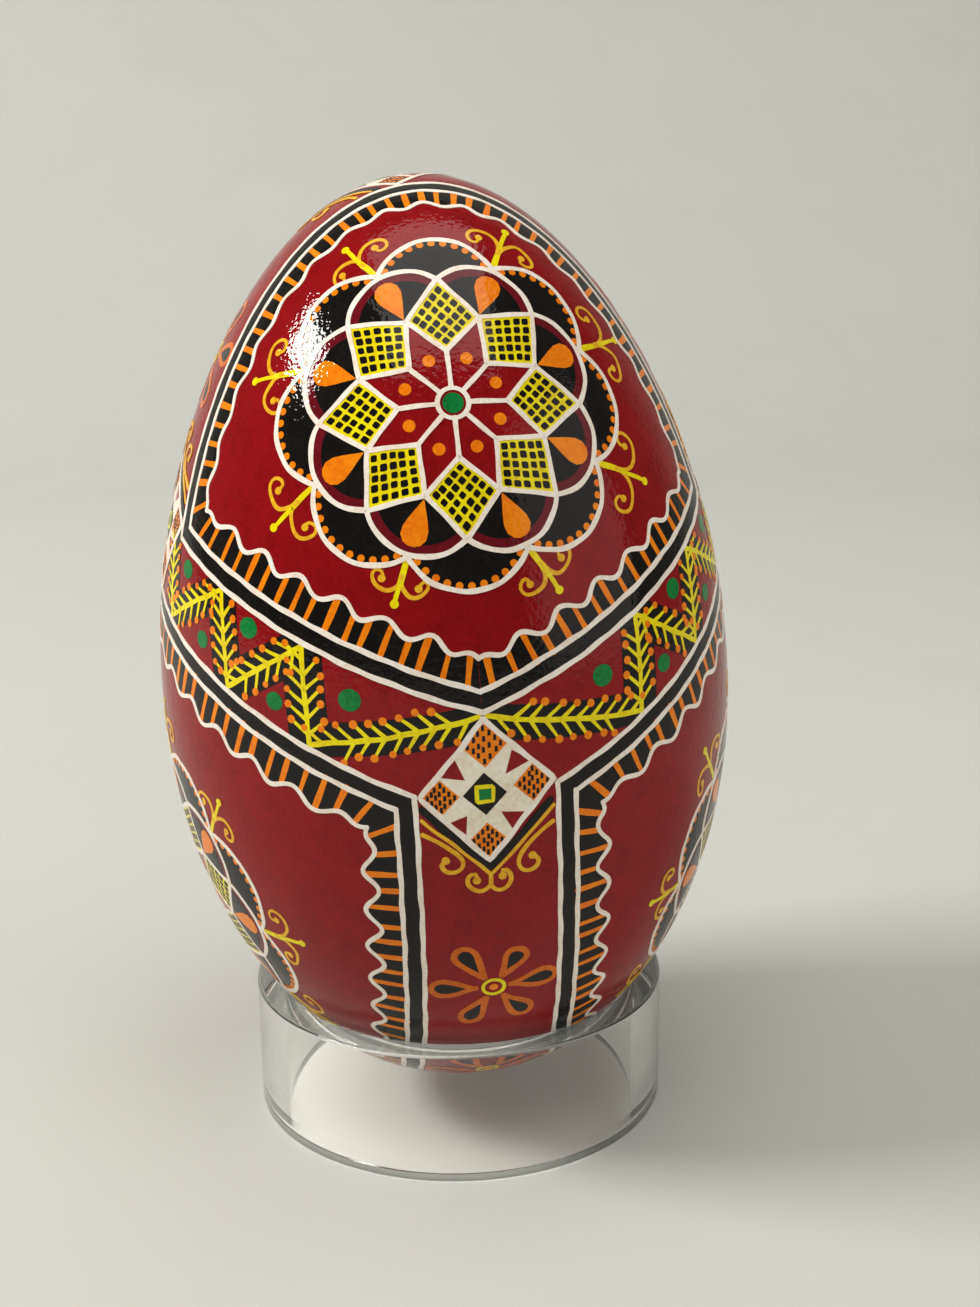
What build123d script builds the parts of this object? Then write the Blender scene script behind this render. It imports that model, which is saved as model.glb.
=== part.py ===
"""A blown goose egg with wax-resist decoration, leaning in the clear ring that it is shown on.

Frame: millimetres, +Z up. The origin is the centre of the ring's foot, on the table.
-Y is the front. The egg stands on its blunt end, and its axis leans towards -X.
"""

from build123d import *

import math
import os

# Clear ring stand: a slice of cast acrylic tube.
RING_OUTER_DIAMETER = 38.0
RING_WALL = 2.5
RING_EDGE_ROUND = 0.3
# Height left under the blunt end of an egg that stands upright. The ring is as tall as this needs, 12 mm.
FLOOR_GAP = 3.38

# Egg, measured along and across its own axis.
EGG_LENGTH = 81.2
EGG_WIDTH = 50.8
# How much fuller the blunt end is than the pointed one, and how full both ends are together.
EGG_BLUNTNESS = 0.095
EGG_FULLNESS = 0.02
EGG_LEAN = 2.8
PROFILE_POINTS = 33

# Shell, its blow hole at the blunt end, and the wax that closes the hole.
SHELL_WALL = 0.6
BLOW_HOLE_DIAMETER = 3.0
SEAL_CLEARANCE = 0.02
SEAL_DEPTH_INSIDE = 0.6

# Gap between the egg and the ring's inner top edge, measured square to both.
SEAT_GAP = 0.08

PARTS_FOLDER = "parts"
SEARCH_STEPS = 60


def bisect(function, low, high):
    """The place between low and high where the function changes sign."""
    low_value = function(low)
    for _ in range(SEARCH_STEPS):
        middle = (low + high) / 2
        if (function(middle) > 0) == (low_value > 0):
            low = middle
        else:
            high = middle
    return (low + high) / 2


def swell(angle):
    """The profile's radius at an angle from the pointed end, before it is scaled to the egg's width."""
    cosine = math.cos(angle)
    return math.sin(angle) * (1 - EGG_BLUNTNESS * cosine - EGG_FULLNESS * cosine**2)


def swell_slope(angle):
    """The rate at which swell changes with the angle."""
    sine, cosine = math.sin(angle), math.cos(angle)
    fullness = 1 - EGG_BLUNTNESS * cosine - EGG_FULLNESS * cosine**2
    return cosine * fullness + sine**2 * (EGG_BLUNTNESS + 2 * EGG_FULLNESS * cosine)


WIDEST_ANGLE = bisect(swell_slope, math.pi / 4, 3 * math.pi / 4)
RADIUS_SCALE = EGG_WIDTH / 2 / swell(WIDEST_ANGLE)


def outward(angle):
    """The unit normal of the egg's profile as (radial, axial)."""
    radial = EGG_LENGTH / 2 * math.sin(angle)
    axial = RADIUS_SCALE * swell_slope(angle)
    size = math.hypot(radial, axial)
    return radial / size, axial / size


def profile_point(angle, inset=0.0):
    """A point of the profile as (radius, height) from the middle of the egg, moved in by inset."""
    radial, axial = outward(angle)
    radius = RADIUS_SCALE * swell(angle) - inset * radial
    return max(radius, 0.0), EGG_LENGTH / 2 * math.cos(angle) - inset * axial


def angle_at(radius, inset=0.0):
    """The angle, past the widest place, at which the profile's radius has fallen to this one."""
    return bisect(lambda at: profile_point(at, inset)[0] - radius, WIDEST_ANGLE, math.pi)


def profile_curve(first_angle, last_angle, inset=0.0):
    """The profile between two angles as a spline, with the points that it starts and ends at."""
    steps = PROFILE_POINTS - 1
    angles = [first_angle + (last_angle - first_angle) * step / steps for step in range(PROFILE_POINTS)]
    points = [profile_point(angle, inset) for angle in angles]
    directions = [(axial, -radial) for radial, axial in map(outward, (first_angle, last_angle))]
    Spline(*points, tangents=directions, tangent_scalars=(1, 1))
    return points[0], points[-1]


# The egg's middle when its blunt end is FLOOR_GAP above the table.
EGG_MIDDLE = FLOOR_GAP + EGG_LENGTH / 2
BLUNT_END = -EGG_LENGTH / 2


def seat():
    """The ring's height, and the height of the point on the egg's axis that it rocks about.

    The egg sits on the rounded inner top edge of the ring, SEAT_GAP away from it.
    """
    reach = RING_EDGE_ROUND + SEAT_GAP
    edge_radius = RING_OUTER_DIAMETER / 2 - RING_WALL + RING_EDGE_ROUND
    angle = angle_at(edge_radius, -reach)
    radius, height = profile_point(angle)
    radial, axial = outward(angle)
    ring_height = EGG_MIDDLE + profile_point(angle, -reach)[1] + RING_EDGE_ROUND
    return ring_height, EGG_MIDDLE + height - radius * axial / radial


RING_HEIGHT, ROCKING_HEIGHT = seat()


def set_down(shape):
    """A shape from the egg's own frame, seated in the ring and leaning."""
    upright = Pos(0, 0, EGG_MIDDLE - ROCKING_HEIGHT) * shape
    return Pos(0, 0, ROCKING_HEIGHT) * (Rot(0, -EGG_LEAN, 0) * upright)


def eggshell():
    """The emptied shell, open only at the blow hole in its blunt end."""
    hole_radius = BLOW_HOLE_DIAMETER / 2
    with BuildSketch(Plane.XZ) as wall:
        with BuildLine():
            outer_top, outer_edge = profile_curve(0, angle_at(hole_radius))
            inner_top, inner_edge = profile_curve(0, angle_at(hole_radius, SHELL_WALL), SHELL_WALL)
            Line(outer_top, inner_top)
            Line(outer_edge, inner_edge)
        make_face()
    return set_down(revolve(wall.sketch, axis=Axis.Z))


def blow_hole_seal():
    """The wax stopper in the blow hole, flush with the shell and standing a little way inside."""
    radius = BLOW_HOLE_DIAMETER / 2 - SEAL_CLEARANCE
    top = BLUNT_END + SHELL_WALL + SEAL_DEPTH_INSIDE
    with BuildSketch(Plane.XZ) as half:
        with BuildLine():
            edge, pole = profile_curve(angle_at(radius), math.pi)
            Polyline(edge, (radius, top), (0, top), pole)
        make_face()
    return set_down(revolve(half.sketch, axis=Axis.Z))


def ring_stand():
    """The ring, with its sawn edges rounded by polishing."""
    outer_radius = RING_OUTER_DIAMETER / 2
    from_foot = (Align.CENTER, Align.CENTER, Align.MIN)
    blank = Cylinder(outer_radius, RING_HEIGHT, align=from_foot)
    bore = Cylinder(outer_radius - RING_WALL, RING_HEIGHT, align=from_foot)
    tube = blank - bore
    return fillet(tube.edges().filter_by(GeomType.CIRCLE), RING_EDGE_ROUND)


def main():
    """Writes one STEP file for each piece."""
    os.makedirs(PARTS_FOLDER, exist_ok=True)
    pieces = {
        "eggshell": eggshell(),
        "blow_hole_seal": blow_hole_seal(),
        "ring_stand": ring_stand(),
    }
    for name, piece in pieces.items():
        export_step(piece, f"{PARTS_FOLDER}/{name}.step")
    print(f"ring {RING_HEIGHT:.3f} mm high, egg's middle {EGG_MIDDLE:.3f} mm up, rocking at {ROCKING_HEIGHT:.3f} mm")


main()
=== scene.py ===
"""A wax-resist decorated egg standing pointed end up in a clear acrylic ring.

Everything is worked out in millimetres in the egg's own frame, with its middle at
the origin and its pointed end up, and is then leaned and set down on the ring.
"""

import logging
import math
from collections.abc import Callable
from dataclasses import dataclass, field
from enum import Enum
from functools import partial

import bpy
import numpy as np
from mathutils import Matrix, Vector
from mathutils.geometry import delaunay_2d_cdt


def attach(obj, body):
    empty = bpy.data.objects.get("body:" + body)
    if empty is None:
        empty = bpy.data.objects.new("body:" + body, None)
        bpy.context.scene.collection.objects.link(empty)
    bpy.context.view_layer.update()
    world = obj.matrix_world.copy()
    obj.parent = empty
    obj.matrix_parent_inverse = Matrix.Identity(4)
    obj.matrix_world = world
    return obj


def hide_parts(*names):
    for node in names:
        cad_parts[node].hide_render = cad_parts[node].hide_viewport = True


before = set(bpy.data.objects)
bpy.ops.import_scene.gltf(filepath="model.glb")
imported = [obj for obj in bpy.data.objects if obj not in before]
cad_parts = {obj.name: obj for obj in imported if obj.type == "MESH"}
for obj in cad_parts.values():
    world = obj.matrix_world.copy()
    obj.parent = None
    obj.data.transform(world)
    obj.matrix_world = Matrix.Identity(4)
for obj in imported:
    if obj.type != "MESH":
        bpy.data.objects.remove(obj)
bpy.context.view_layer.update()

LOG = logging.getLogger("pysanka")

MM = 0.001
EGG_BODY = "egg"
STAND_BODY = "stand"

# The marks lie on the shell as films. Each level is this much higher, in mm.
FILM_STEP = 0.012
FILM_ROOT = 0.05
# Longest side of a film's facets, in mm, so that they follow the shell.
FACET = 0.75
# Spacing of the points that a band's centre line and a drawn line are kept at, in mm.
BAND_SPACING = 0.25
LINE_SPACING = 0.3
# Steps in which a point is walked out from a chart's centre or a band's middle.
CHART_STEPS = 14
BAND_STEPS = 6
# A band's centre line is found on this many rays, each halved this many times.
BAND_RAYS = 600
HALVINGS = 40
# How far the writing tool strays from its line, in mm, and the waves it strays in.
HAND_DRIFT = 0.05
DRIFT_WAVES = (7.0, 3.1)
# How much a drawn line swells and thins, as a share of its width.
SWELL = 0.09
# How much of each side a rounded corner takes at a time.
CORNER_CUT = 0.25
# Where two sides are looked for near a corner: from, to and step, in mm.
MEETING_SEARCH = (-6.0, 24.0, 0.3)
# The families of motif draw their random numbers from seeds that start here.
ROSETTE_SEED, BORDER_SEED, PINE_SEED, DIAMOND_SEED, FLOWER_SEED = 100, 200, 300, 400, 500
SEEDS_APART = 10

Array = np.ndarray


def unit(vectors: Array) -> Array:
    """Scale vectors to length one.

    Args:
        vectors: Rows of three numbers, or one such row.

    Returns:
        The same directions, each of length one.
    """
    length = np.linalg.norm(vectors, axis=-1, keepdims=True)
    return vectors / np.maximum(length, 1e-12)


def polar(radius: float, degrees: float) -> Array:
    """Give the flat point at a radius and an angle.

    Args:
        radius: Distance from the motif's centre, in mm.
        degrees: Angle from the motif's right-hand side, anticlockwise.

    Returns:
        The point's two coordinates.
    """
    turn = math.radians(degrees)
    return np.array([radius * math.cos(turn), radius * math.sin(turn)])


def arc(centre: Array, radius: float, start: float, end: float, steps: int) -> Array:
    """Give points along a flat arc.

    Args:
        centre: The arc's centre, in mm.
        radius: Its radius, in mm.
        start: Its first angle, in degrees.
        end: Its last angle, in degrees.
        steps: How many parts it is cut into.

    Returns:
        The points, one row each.
    """
    turns = np.radians(np.linspace(start, end, steps + 1))
    return centre + radius * np.column_stack([np.cos(turns), np.sin(turns)])


def turned(points: Array, degrees: float) -> Array:
    """Turn flat points about the origin.

    Args:
        points: The points, one row each.
        degrees: The turn, anticlockwise.

    Returns:
        The turned points.
    """
    turn = math.radians(degrees)
    rows = np.array([[math.cos(turn), math.sin(turn)], [-math.sin(turn), math.cos(turn)]])
    return np.asarray(points, float) @ rows


def distances(points: Array) -> Array:
    """Give how far along a polyline each of its points is, in mm."""
    return np.r_[0, np.cumsum(np.linalg.norm(np.diff(points, axis=0), axis=1))]


def looked_up(at: Array | float, along: Array, rows: Array) -> Array:
    """Read rows at distances along a polyline.

    Args:
        at: The wanted distances, in mm.
        along: The distance that each row is at.
        rows: The rows, such as the polyline's points.

    Returns:
        The rows between them, one for each wanted distance.
    """
    return np.column_stack([np.interp(at, along, axis) for axis in rows.T])


def resampled(points: Array, step: float) -> Array:
    """Space points evenly along a polyline and keep its ends.

    Args:
        points: The polyline's points, in two or three dimensions.
        step: The wanted spacing, in mm.

    Returns:
        The evenly spaced points.
    """
    points = np.asarray(points, float)
    lengths = distances(points)
    count = max(2, int(math.ceil(lengths[-1] / step)) + 1)
    return looked_up(np.linspace(0, lengths[-1], count), lengths, points)


def smoothed(points: Array, rounds: int = 3) -> Array:
    """Round an open polyline by cutting its corners, keeping its ends.

    Args:
        points: The polyline's points.
        rounds: How often the corners are cut.

    Returns:
        The rounded polyline.
    """
    points = np.asarray(points, float)
    for _ in range(rounds):
        near = points[:-1] * (1 - CORNER_CUT) + points[1:] * CORNER_CUT
        far = points[:-1] * CORNER_CUT + points[1:] * (1 - CORNER_CUT)
        cut = np.empty((2 * len(near), points.shape[1]))
        cut[0::2], cut[1::2] = near, far
        points = np.vstack([points[:1], cut, points[-1:]])
    return points


class Dye(Enum):
    """The colours that the shell is written and dyed in, with slot and sRGB colours.

    Each holds its record slot, its main colour, and the colour that it thins or
    pools to.
    """

    RED = ("shell_red", "90060E", "800208")
    BLACK = ("shell_black", "0B0908", "17120E")
    WHITE = ("shell_white", "FAF1E6", "EEDDCB")
    YELLOW = ("shell_yellow", "F6E608", "E4C808")
    AMBER = ("shell_yellow", "F0BC28", "DF9A1A")
    ORANGE = ("shell_orange", "F78A08", "EA7204")
    RUST = ("shell_orange", "DA6C08", "C25806")
    GREEN = ("shell_green", "088038", "05662C")
    MAROON = ("shell_red", "6E0C1A", "5C0612")
    CREAM = ("shell_white", "F8F0DE", "EAD9BE")

    @property
    def slot(self) -> str:
        """The record's material slot."""
        return self.value[0]

    @property
    def colours(self) -> tuple[str, str]:
        """The main colour and the one it shades to."""
        return self.value[1], self.value[2]


# ---------------------------------------------------------------- materials


def linear(colour: str) -> tuple[float, float, float, float]:
    """Turn an sRGB hex colour into a linear one.

    Args:
        colour: Six hex digits.

    Returns:
        Red, green, blue and an alpha of one.
    """
    parts = [int(colour[i : i + 2], 16) / 255 for i in (0, 2, 4)]
    return (*[c / 12.92 if c <= 0.04045 else ((c + 0.055) / 1.055) ** 2.4 for c in parts], 1.0)


def per_metre(size_mm: float) -> float:
    """Give the texture scale whose features are about this many mm apart."""
    return 1.0 / (size_mm * MM)


def add_node(
    tree: bpy.types.NodeTree,
    kind: str,
    sockets: dict[str | int, object] | None = None,
    **options: object,
) -> bpy.types.Node:
    """Add a node, set its options and fill or link its inputs.

    Args:
        tree: The tree that it goes in.
        kind: The node's type name.
        sockets: Inputs by name or number, each a value or another node's output.
        options: Properties of the node itself.

    Returns:
        The new node.
    """
    node = tree.nodes.new(kind)
    for name, value in options.items():
        setattr(node, name, value)
    for key, value in (sockets or {}).items():
        socket = node.inputs[key]
        if isinstance(value, bpy.types.NodeSocket):
            tree.links.new(value, socket)
        else:
            socket.default_value = value
    return node


@dataclass(frozen=True)
class Finish:
    """What all finishes share: a node material whose patterns sit still in the piece."""

    @property
    def title(self) -> str:
        """The material's name."""
        raise NotImplementedError

    def surface(self, tree: bpy.types.NodeTree, place: bpy.types.NodeSocket) -> object:
        """Give the shader output of the finish."""
        raise NotImplementedError

    def make(self) -> bpy.types.Material:
        """Build the material.

        Returns:
            The finished material.
        """
        material = bpy.data.materials.new(self.title)
        material.use_nodes = True
        tree = material.node_tree
        tree.nodes.clear()
        place = add_node(tree, "ShaderNodeTexCoord").outputs["Object"]
        surface = self.surface(tree, place)
        add_node(tree, "ShaderNodeOutputMaterial", {"Surface": surface})
        return material


@dataclass(frozen=True)
class VarnishedDye(Finish):
    """Aniline dye on eggshell under a hand-rubbed oil varnish.

    Dye pools a little around the pores, so each colour is mottled at about 2 mm and
    speckled at a third of a millimetre. The varnish gives a wet gloss over a faint
    orange peel, so a window mirrored in it has a broken edge.
    """

    dye: Dye
    mottle_mm: float = 2.2
    speckle_mm: float = 0.35
    peel_mm: float = 1.1
    pore_mm: float = 0.38
    peel_depth: float = 0.022
    pore_depth: float = 0.026
    roughness: tuple[float, float] = (0.3, 0.42)

    @property
    def title(self) -> str:
        """The material's name."""
        return f"varnished_{self.dye.name.lower()}_dye_on_eggshell"

    def surface(self, tree: bpy.types.NodeTree, place: bpy.types.NodeSocket) -> object:
        """Mottle the dye and lay the varnish over it.

        Args:
            tree: The material's tree.
            place: The point's place on the piece.

        Returns:
            The shader output.
        """
        scales = ((self.mottle_mm, 4.0), (self.speckle_mm, 2.0), (self.peel_mm, 1.0))
        mottle, speckle, peel, pores = (
            add_node(
                tree,
                "ShaderNodeTexNoise",
                {"Vector": place, "Scale": per_metre(size), "Detail": detail},
            ).outputs["Fac"]
            for size, detail in (*scales, (self.pore_mm, 1.0))
        )
        pooled = add_node(tree, "ShaderNodeMath", {0: mottle, 1: speckle}, operation="MULTIPLY")
        limits = {"Value": pooled.outputs[0], "From Min": 0.16, "From Max": 0.38}
        share = add_node(tree, "ShaderNodeMapRange", limits)
        main, shade = self.dye.colours
        mix = {"Factor": share.outputs["Result"], 6: linear(main), 7: linear(shade)}
        colour = add_node(tree, "ShaderNodeMix", mix, data_type="RGBA")
        smooth, dull = self.roughness
        limits = {"Value": speckle, "From Min": 0.3, "From Max": 0.7, "To Min": smooth}
        rough = add_node(tree, "ShaderNodeMapRange", {**limits, "To Max": dull})
        height = {"Strength": 1.0, "Distance": self.peel_depth * MM, "Height": peel}
        waved = add_node(tree, "ShaderNodeBump", height).outputs["Normal"]
        height = {"Strength": 1.0, "Distance": self.pore_depth * MM, "Height": pores}
        bump = add_node(tree, "ShaderNodeBump", {**height, "Normal": waved}).outputs["Normal"]
        sockets = {
            "Base Color": colour.outputs[2],
            "Roughness": rough.outputs["Result"],
            "Normal": bump,
            "Coat Normal": bump,
            "Specular IOR Level": 0.0,
            "Coat Weight": 0.8,
            "Coat Roughness": 0.035,
            "Coat IOR": 1.38,
        }
        return add_node(tree, "ShaderNodeBsdfPrincipled", sockets).outputs[0]


@dataclass(frozen=True)
class ClearAcrylic(Finish):
    """Cast acrylic tube, sawn to length and polished.

    It is water clear and takes its look from what it bends, with faint rub marks
    1.6 mm apart that dull its gloss here and there, and a slow wave in its wall.
    """

    title: str = "polished_clear_acrylic"
    tint: str = "FBFCFB"
    rub_mm: float = 1.6
    wave_mm: float = 6.0
    wave_depth: float = 0.02
    roughness: tuple[float, float] = (0.02, 0.09)

    def surface(self, tree: bpy.types.NodeTree, place: bpy.types.NodeSocket) -> object:
        """Bend light through the body and let the lamps shine through it.

        Args:
            tree: The material's tree.
            place: The point's place on the piece.

        Returns:
            The shader output.
        """
        rubs, waves = (
            add_node(
                tree,
                "ShaderNodeTexNoise",
                {"Vector": place, "Scale": per_metre(size), "Detail": detail},
            ).outputs["Fac"]
            for size, detail in ((self.rub_mm, 5.0), (self.wave_mm, 0.0))
        )
        smooth, dull = self.roughness
        limits = {"Value": rubs, "From Min": 0.45, "From Max": 0.75, "To Min": smooth}
        rough = add_node(tree, "ShaderNodeMapRange", {**limits, "To Max": dull})
        height = {"Strength": 1.0, "Distance": self.wave_depth * MM, "Height": waves}
        sockets = {
            "Base Color": linear(self.tint),
            "Roughness": rough.outputs["Result"],
            "Normal": add_node(tree, "ShaderNodeBump", height).outputs["Normal"],
            "IOR": 1.49,
            "Transmission Weight": 1.0,
        }
        body = add_node(tree, "ShaderNodeBsdfPrincipled", sockets).outputs[0]
        # Lamps shine through it, as they do through the real one.
        clear = add_node(tree, "ShaderNodeBsdfTransparent", {"Color": linear(self.tint)})
        path = add_node(tree, "ShaderNodeLightPath").outputs["Is Shadow Ray"]
        parts = {0: path, 1: body, 2: clear.outputs[0]}
        return add_node(tree, "ShaderNodeMixShader", parts).outputs[0]


@dataclass(frozen=True)
class DabbedBeeswax(Finish):
    """Warm beeswax dabbed into the blow hole and wiped.

    It is honey coloured and softly glossy, lets a little light in, and is dimpled at
    half a millimetre where it was wiped.
    """

    title: str = "dabbed_beeswax"
    pale: str = "D9AE5A"
    deep: str = "B5802C"
    dimple_mm: float = 0.5
    dimple_depth: float = 0.03

    def surface(self, tree: bpy.types.NodeTree, place: bpy.types.NodeSocket) -> object:
        """Shade and dimple the wax.

        Args:
            tree: The material's tree.
            place: The point's place on the piece.

        Returns:
            The shader output.
        """
        scale = {"Vector": place, "Scale": per_metre(self.dimple_mm), "Detail": 4.0}
        dimples = add_node(tree, "ShaderNodeTexNoise", scale).outputs["Fac"]
        mix = {"Factor": dimples, 6: linear(self.pale), 7: linear(self.deep)}
        height = {"Strength": 1.0, "Distance": self.dimple_depth * MM, "Height": dimples}
        sockets = {
            "Base Color": add_node(tree, "ShaderNodeMix", mix, data_type="RGBA").outputs[2],
            "Roughness": 0.38,
            "Normal": add_node(tree, "ShaderNodeBump", height).outputs["Normal"],
            "IOR": 1.44,
            "Subsurface Weight": 0.25,
            "Subsurface Scale": 0.8 * MM,
        }
        return add_node(tree, "ShaderNodeBsdfPrincipled", sockets).outputs[0]


@dataclass(frozen=True)
class MattPaper(Finish):
    """Wide matt studio paper in a pale warm grey, with a soft fibre mottle."""

    title: str = "matt_studio_paper"
    light: str = "C6C6C1"
    dark: str = "C1C1BB"
    mottle_mm: float = 30.0

    def surface(self, tree: bpy.types.NodeTree, place: bpy.types.NodeSocket) -> object:
        """Mottle the paper.

        Args:
            tree: The material's tree.
            place: The point's place on the piece.

        Returns:
            The shader output.
        """
        scale = {"Vector": place, "Scale": per_metre(self.mottle_mm), "Detail": 3.0}
        mottle = add_node(tree, "ShaderNodeTexNoise", scale).outputs["Fac"]
        mix = {"Factor": mottle, 6: linear(self.light), 7: linear(self.dark)}
        colour = add_node(tree, "ShaderNodeMix", mix, data_type="RGBA").outputs[2]
        sockets = {"Base Color": colour, "Roughness": 0.85, "Specular IOR Level": 0.2}
        return add_node(tree, "ShaderNodeBsdfPrincipled", sockets).outputs[0]


# ------------------------------------------------------------ the egg's form


@dataclass(frozen=True)
class EggForm:
    """The egg's outer surface, turned about its long axis.

    At angle t from the pointed end the height is half the length times cos t, and the
    radius is scale * sin t * (1 - bluntness cos t - fullness cos^2 t).
    """

    length: float = 81.2
    scale: float = 25.291355
    bluntness: float = 0.095
    fullness: float = 0.02
    wall: float = 0.6
    hole_radius: float = 1.5
    lean: float = 2.8
    middle_height: float = 43.98
    rocking_height: float = 25.577

    def radius(self, t: Array) -> Array:
        """Give the radius at each angle t."""
        c = np.cos(t)
        return self.scale * np.sin(t) * (1 - self.bluntness * c - self.fullness * c * c)

    def slope(self, t: Array) -> Array:
        """Give how fast the radius grows with t.

        Args:
            t: Angles from the pointed end.

        Returns:
            The radius's rate of growth at each.
        """
        s, c = np.sin(t), np.cos(t)
        bulge = 1 - self.bluntness * c - self.fullness * c * c
        return self.scale * (c * bulge + s * s * (self.bluntness + 2 * self.fullness * c))

    def nearest(self, points: Array, rounds: int = 3) -> tuple[Array, Array]:
        """Find the surface points nearest to given points.

        Args:
            points: Points near the surface, one row each.
            rounds: How often the answer is refined.

        Returns:
            The surface points and the outward normals there.
        """
        half = self.length / 2
        flat = np.hypot(points[..., 0], points[..., 1])
        height = points[..., 2]
        t = np.arctan2(flat / self.scale, height / half)
        for _ in range(rounds):
            r, r1 = self.radius(t), self.slope(t)
            s, c = np.sin(t), np.cos(t)
            off = (r - flat) * r1 - (half * c - height) * half * s
            bend = -r
            gain = r1 * r1 + (half * s) ** 2 + (r - flat) * bend - (half * c - height) * half * c
            t = np.clip(t - off / np.maximum(gain, 1e-6), 0, math.pi)
        r, r1 = self.radius(t), self.slope(t)
        safe = np.maximum(flat, 1e-9)
        cx = np.where(flat > 1e-9, points[..., 0] / safe, 1.0)
        cy = np.where(flat > 1e-9, points[..., 1] / safe, 0.0)
        foot = np.stack([r * cx, r * cy, half * np.cos(t)], -1)
        nr, nz = half * np.sin(t), r1
        size = np.hypot(nr, nz)
        return foot, np.stack([nr / size * cx, nr / size * cy, nz / size], -1)

    def at(self, height: float, longitude: float) -> Array:
        """Give the surface point at a height and a longitude.

        Args:
            height: Height above the egg's middle, in mm.
            longitude: Degrees round from the front, anticlockwise from below.

        Returns:
            The point.
        """
        t = math.acos(max(-1.0, min(1.0, 2 * height / self.length)))
        turn = math.radians(longitude)
        r = float(self.radius(np.array(t)))
        return np.array([r * math.sin(turn), -r * math.cos(turn), height])

    def walk(
        self, start: Array, heading: Array, distance: Array, steps: int
    ) -> tuple[Array, Array]:
        """Walk straight ahead over the surface.

        Args:
            start: Where each walk starts.
            heading: Which way it sets off.
            distance: How far it goes, in mm.
            steps: How many steps it takes.

        Returns:
            Where each walk ends and the normals there.
        """
        stride = (np.asarray(distance, float) / steps)[..., None]
        spot, normal = self.nearest(start)
        way = heading
        for _ in range(steps):
            way = unit(way - (way * normal).sum(-1, keepdims=True) * normal)
            _, between = self.nearest(spot + way * stride / 2, 2)
            way = unit(way - (way * between).sum(-1, keepdims=True) * between)
            spot, normal = self.nearest(spot + way * stride, 2)
        return spot, normal

    def settle(self) -> Matrix:
        """Give the move from the egg's own frame, in mm, to the shared one, in metres.

        Returns:
            The move.
        """
        return (
            Matrix.Scale(MM, 4)
            @ Matrix.Translation((0, 0, self.rocking_height))
            @ Matrix.Rotation(math.radians(-self.lean), 4, "Y")
            @ Matrix.Translation((0, 0, self.middle_height - self.rocking_height))
        )


EGG = EggForm()


class RoundChart:
    """A flat sheet laid on the egg at one point and smoothed down around it."""

    def __init__(self, centre: Array, up: Array) -> None:
        """Lay the sheet.

        Args:
            centre: The surface point under the sheet's origin.
            up: Roughly which way its second axis points.
        """
        (self.centre,), (normal,) = EGG.nearest(centre[None])
        self.up = unit(up - (up @ normal) * normal)
        self.right = np.cross(self.up, normal)

    def place(self, points: Array) -> tuple[Array, Array]:
        """Wrap flat points onto the egg.

        Args:
            points: Rows of right and up, in mm.

        Returns:
            The surface points and normals.
        """
        heading = points[:, :1] * self.right + points[:, 1:] * self.up
        distance = np.linalg.norm(heading, axis=1)
        start = np.repeat(self.centre[None], len(points), 0)
        return EGG.walk(start, unit(heading), distance, CHART_STEPS)


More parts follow.
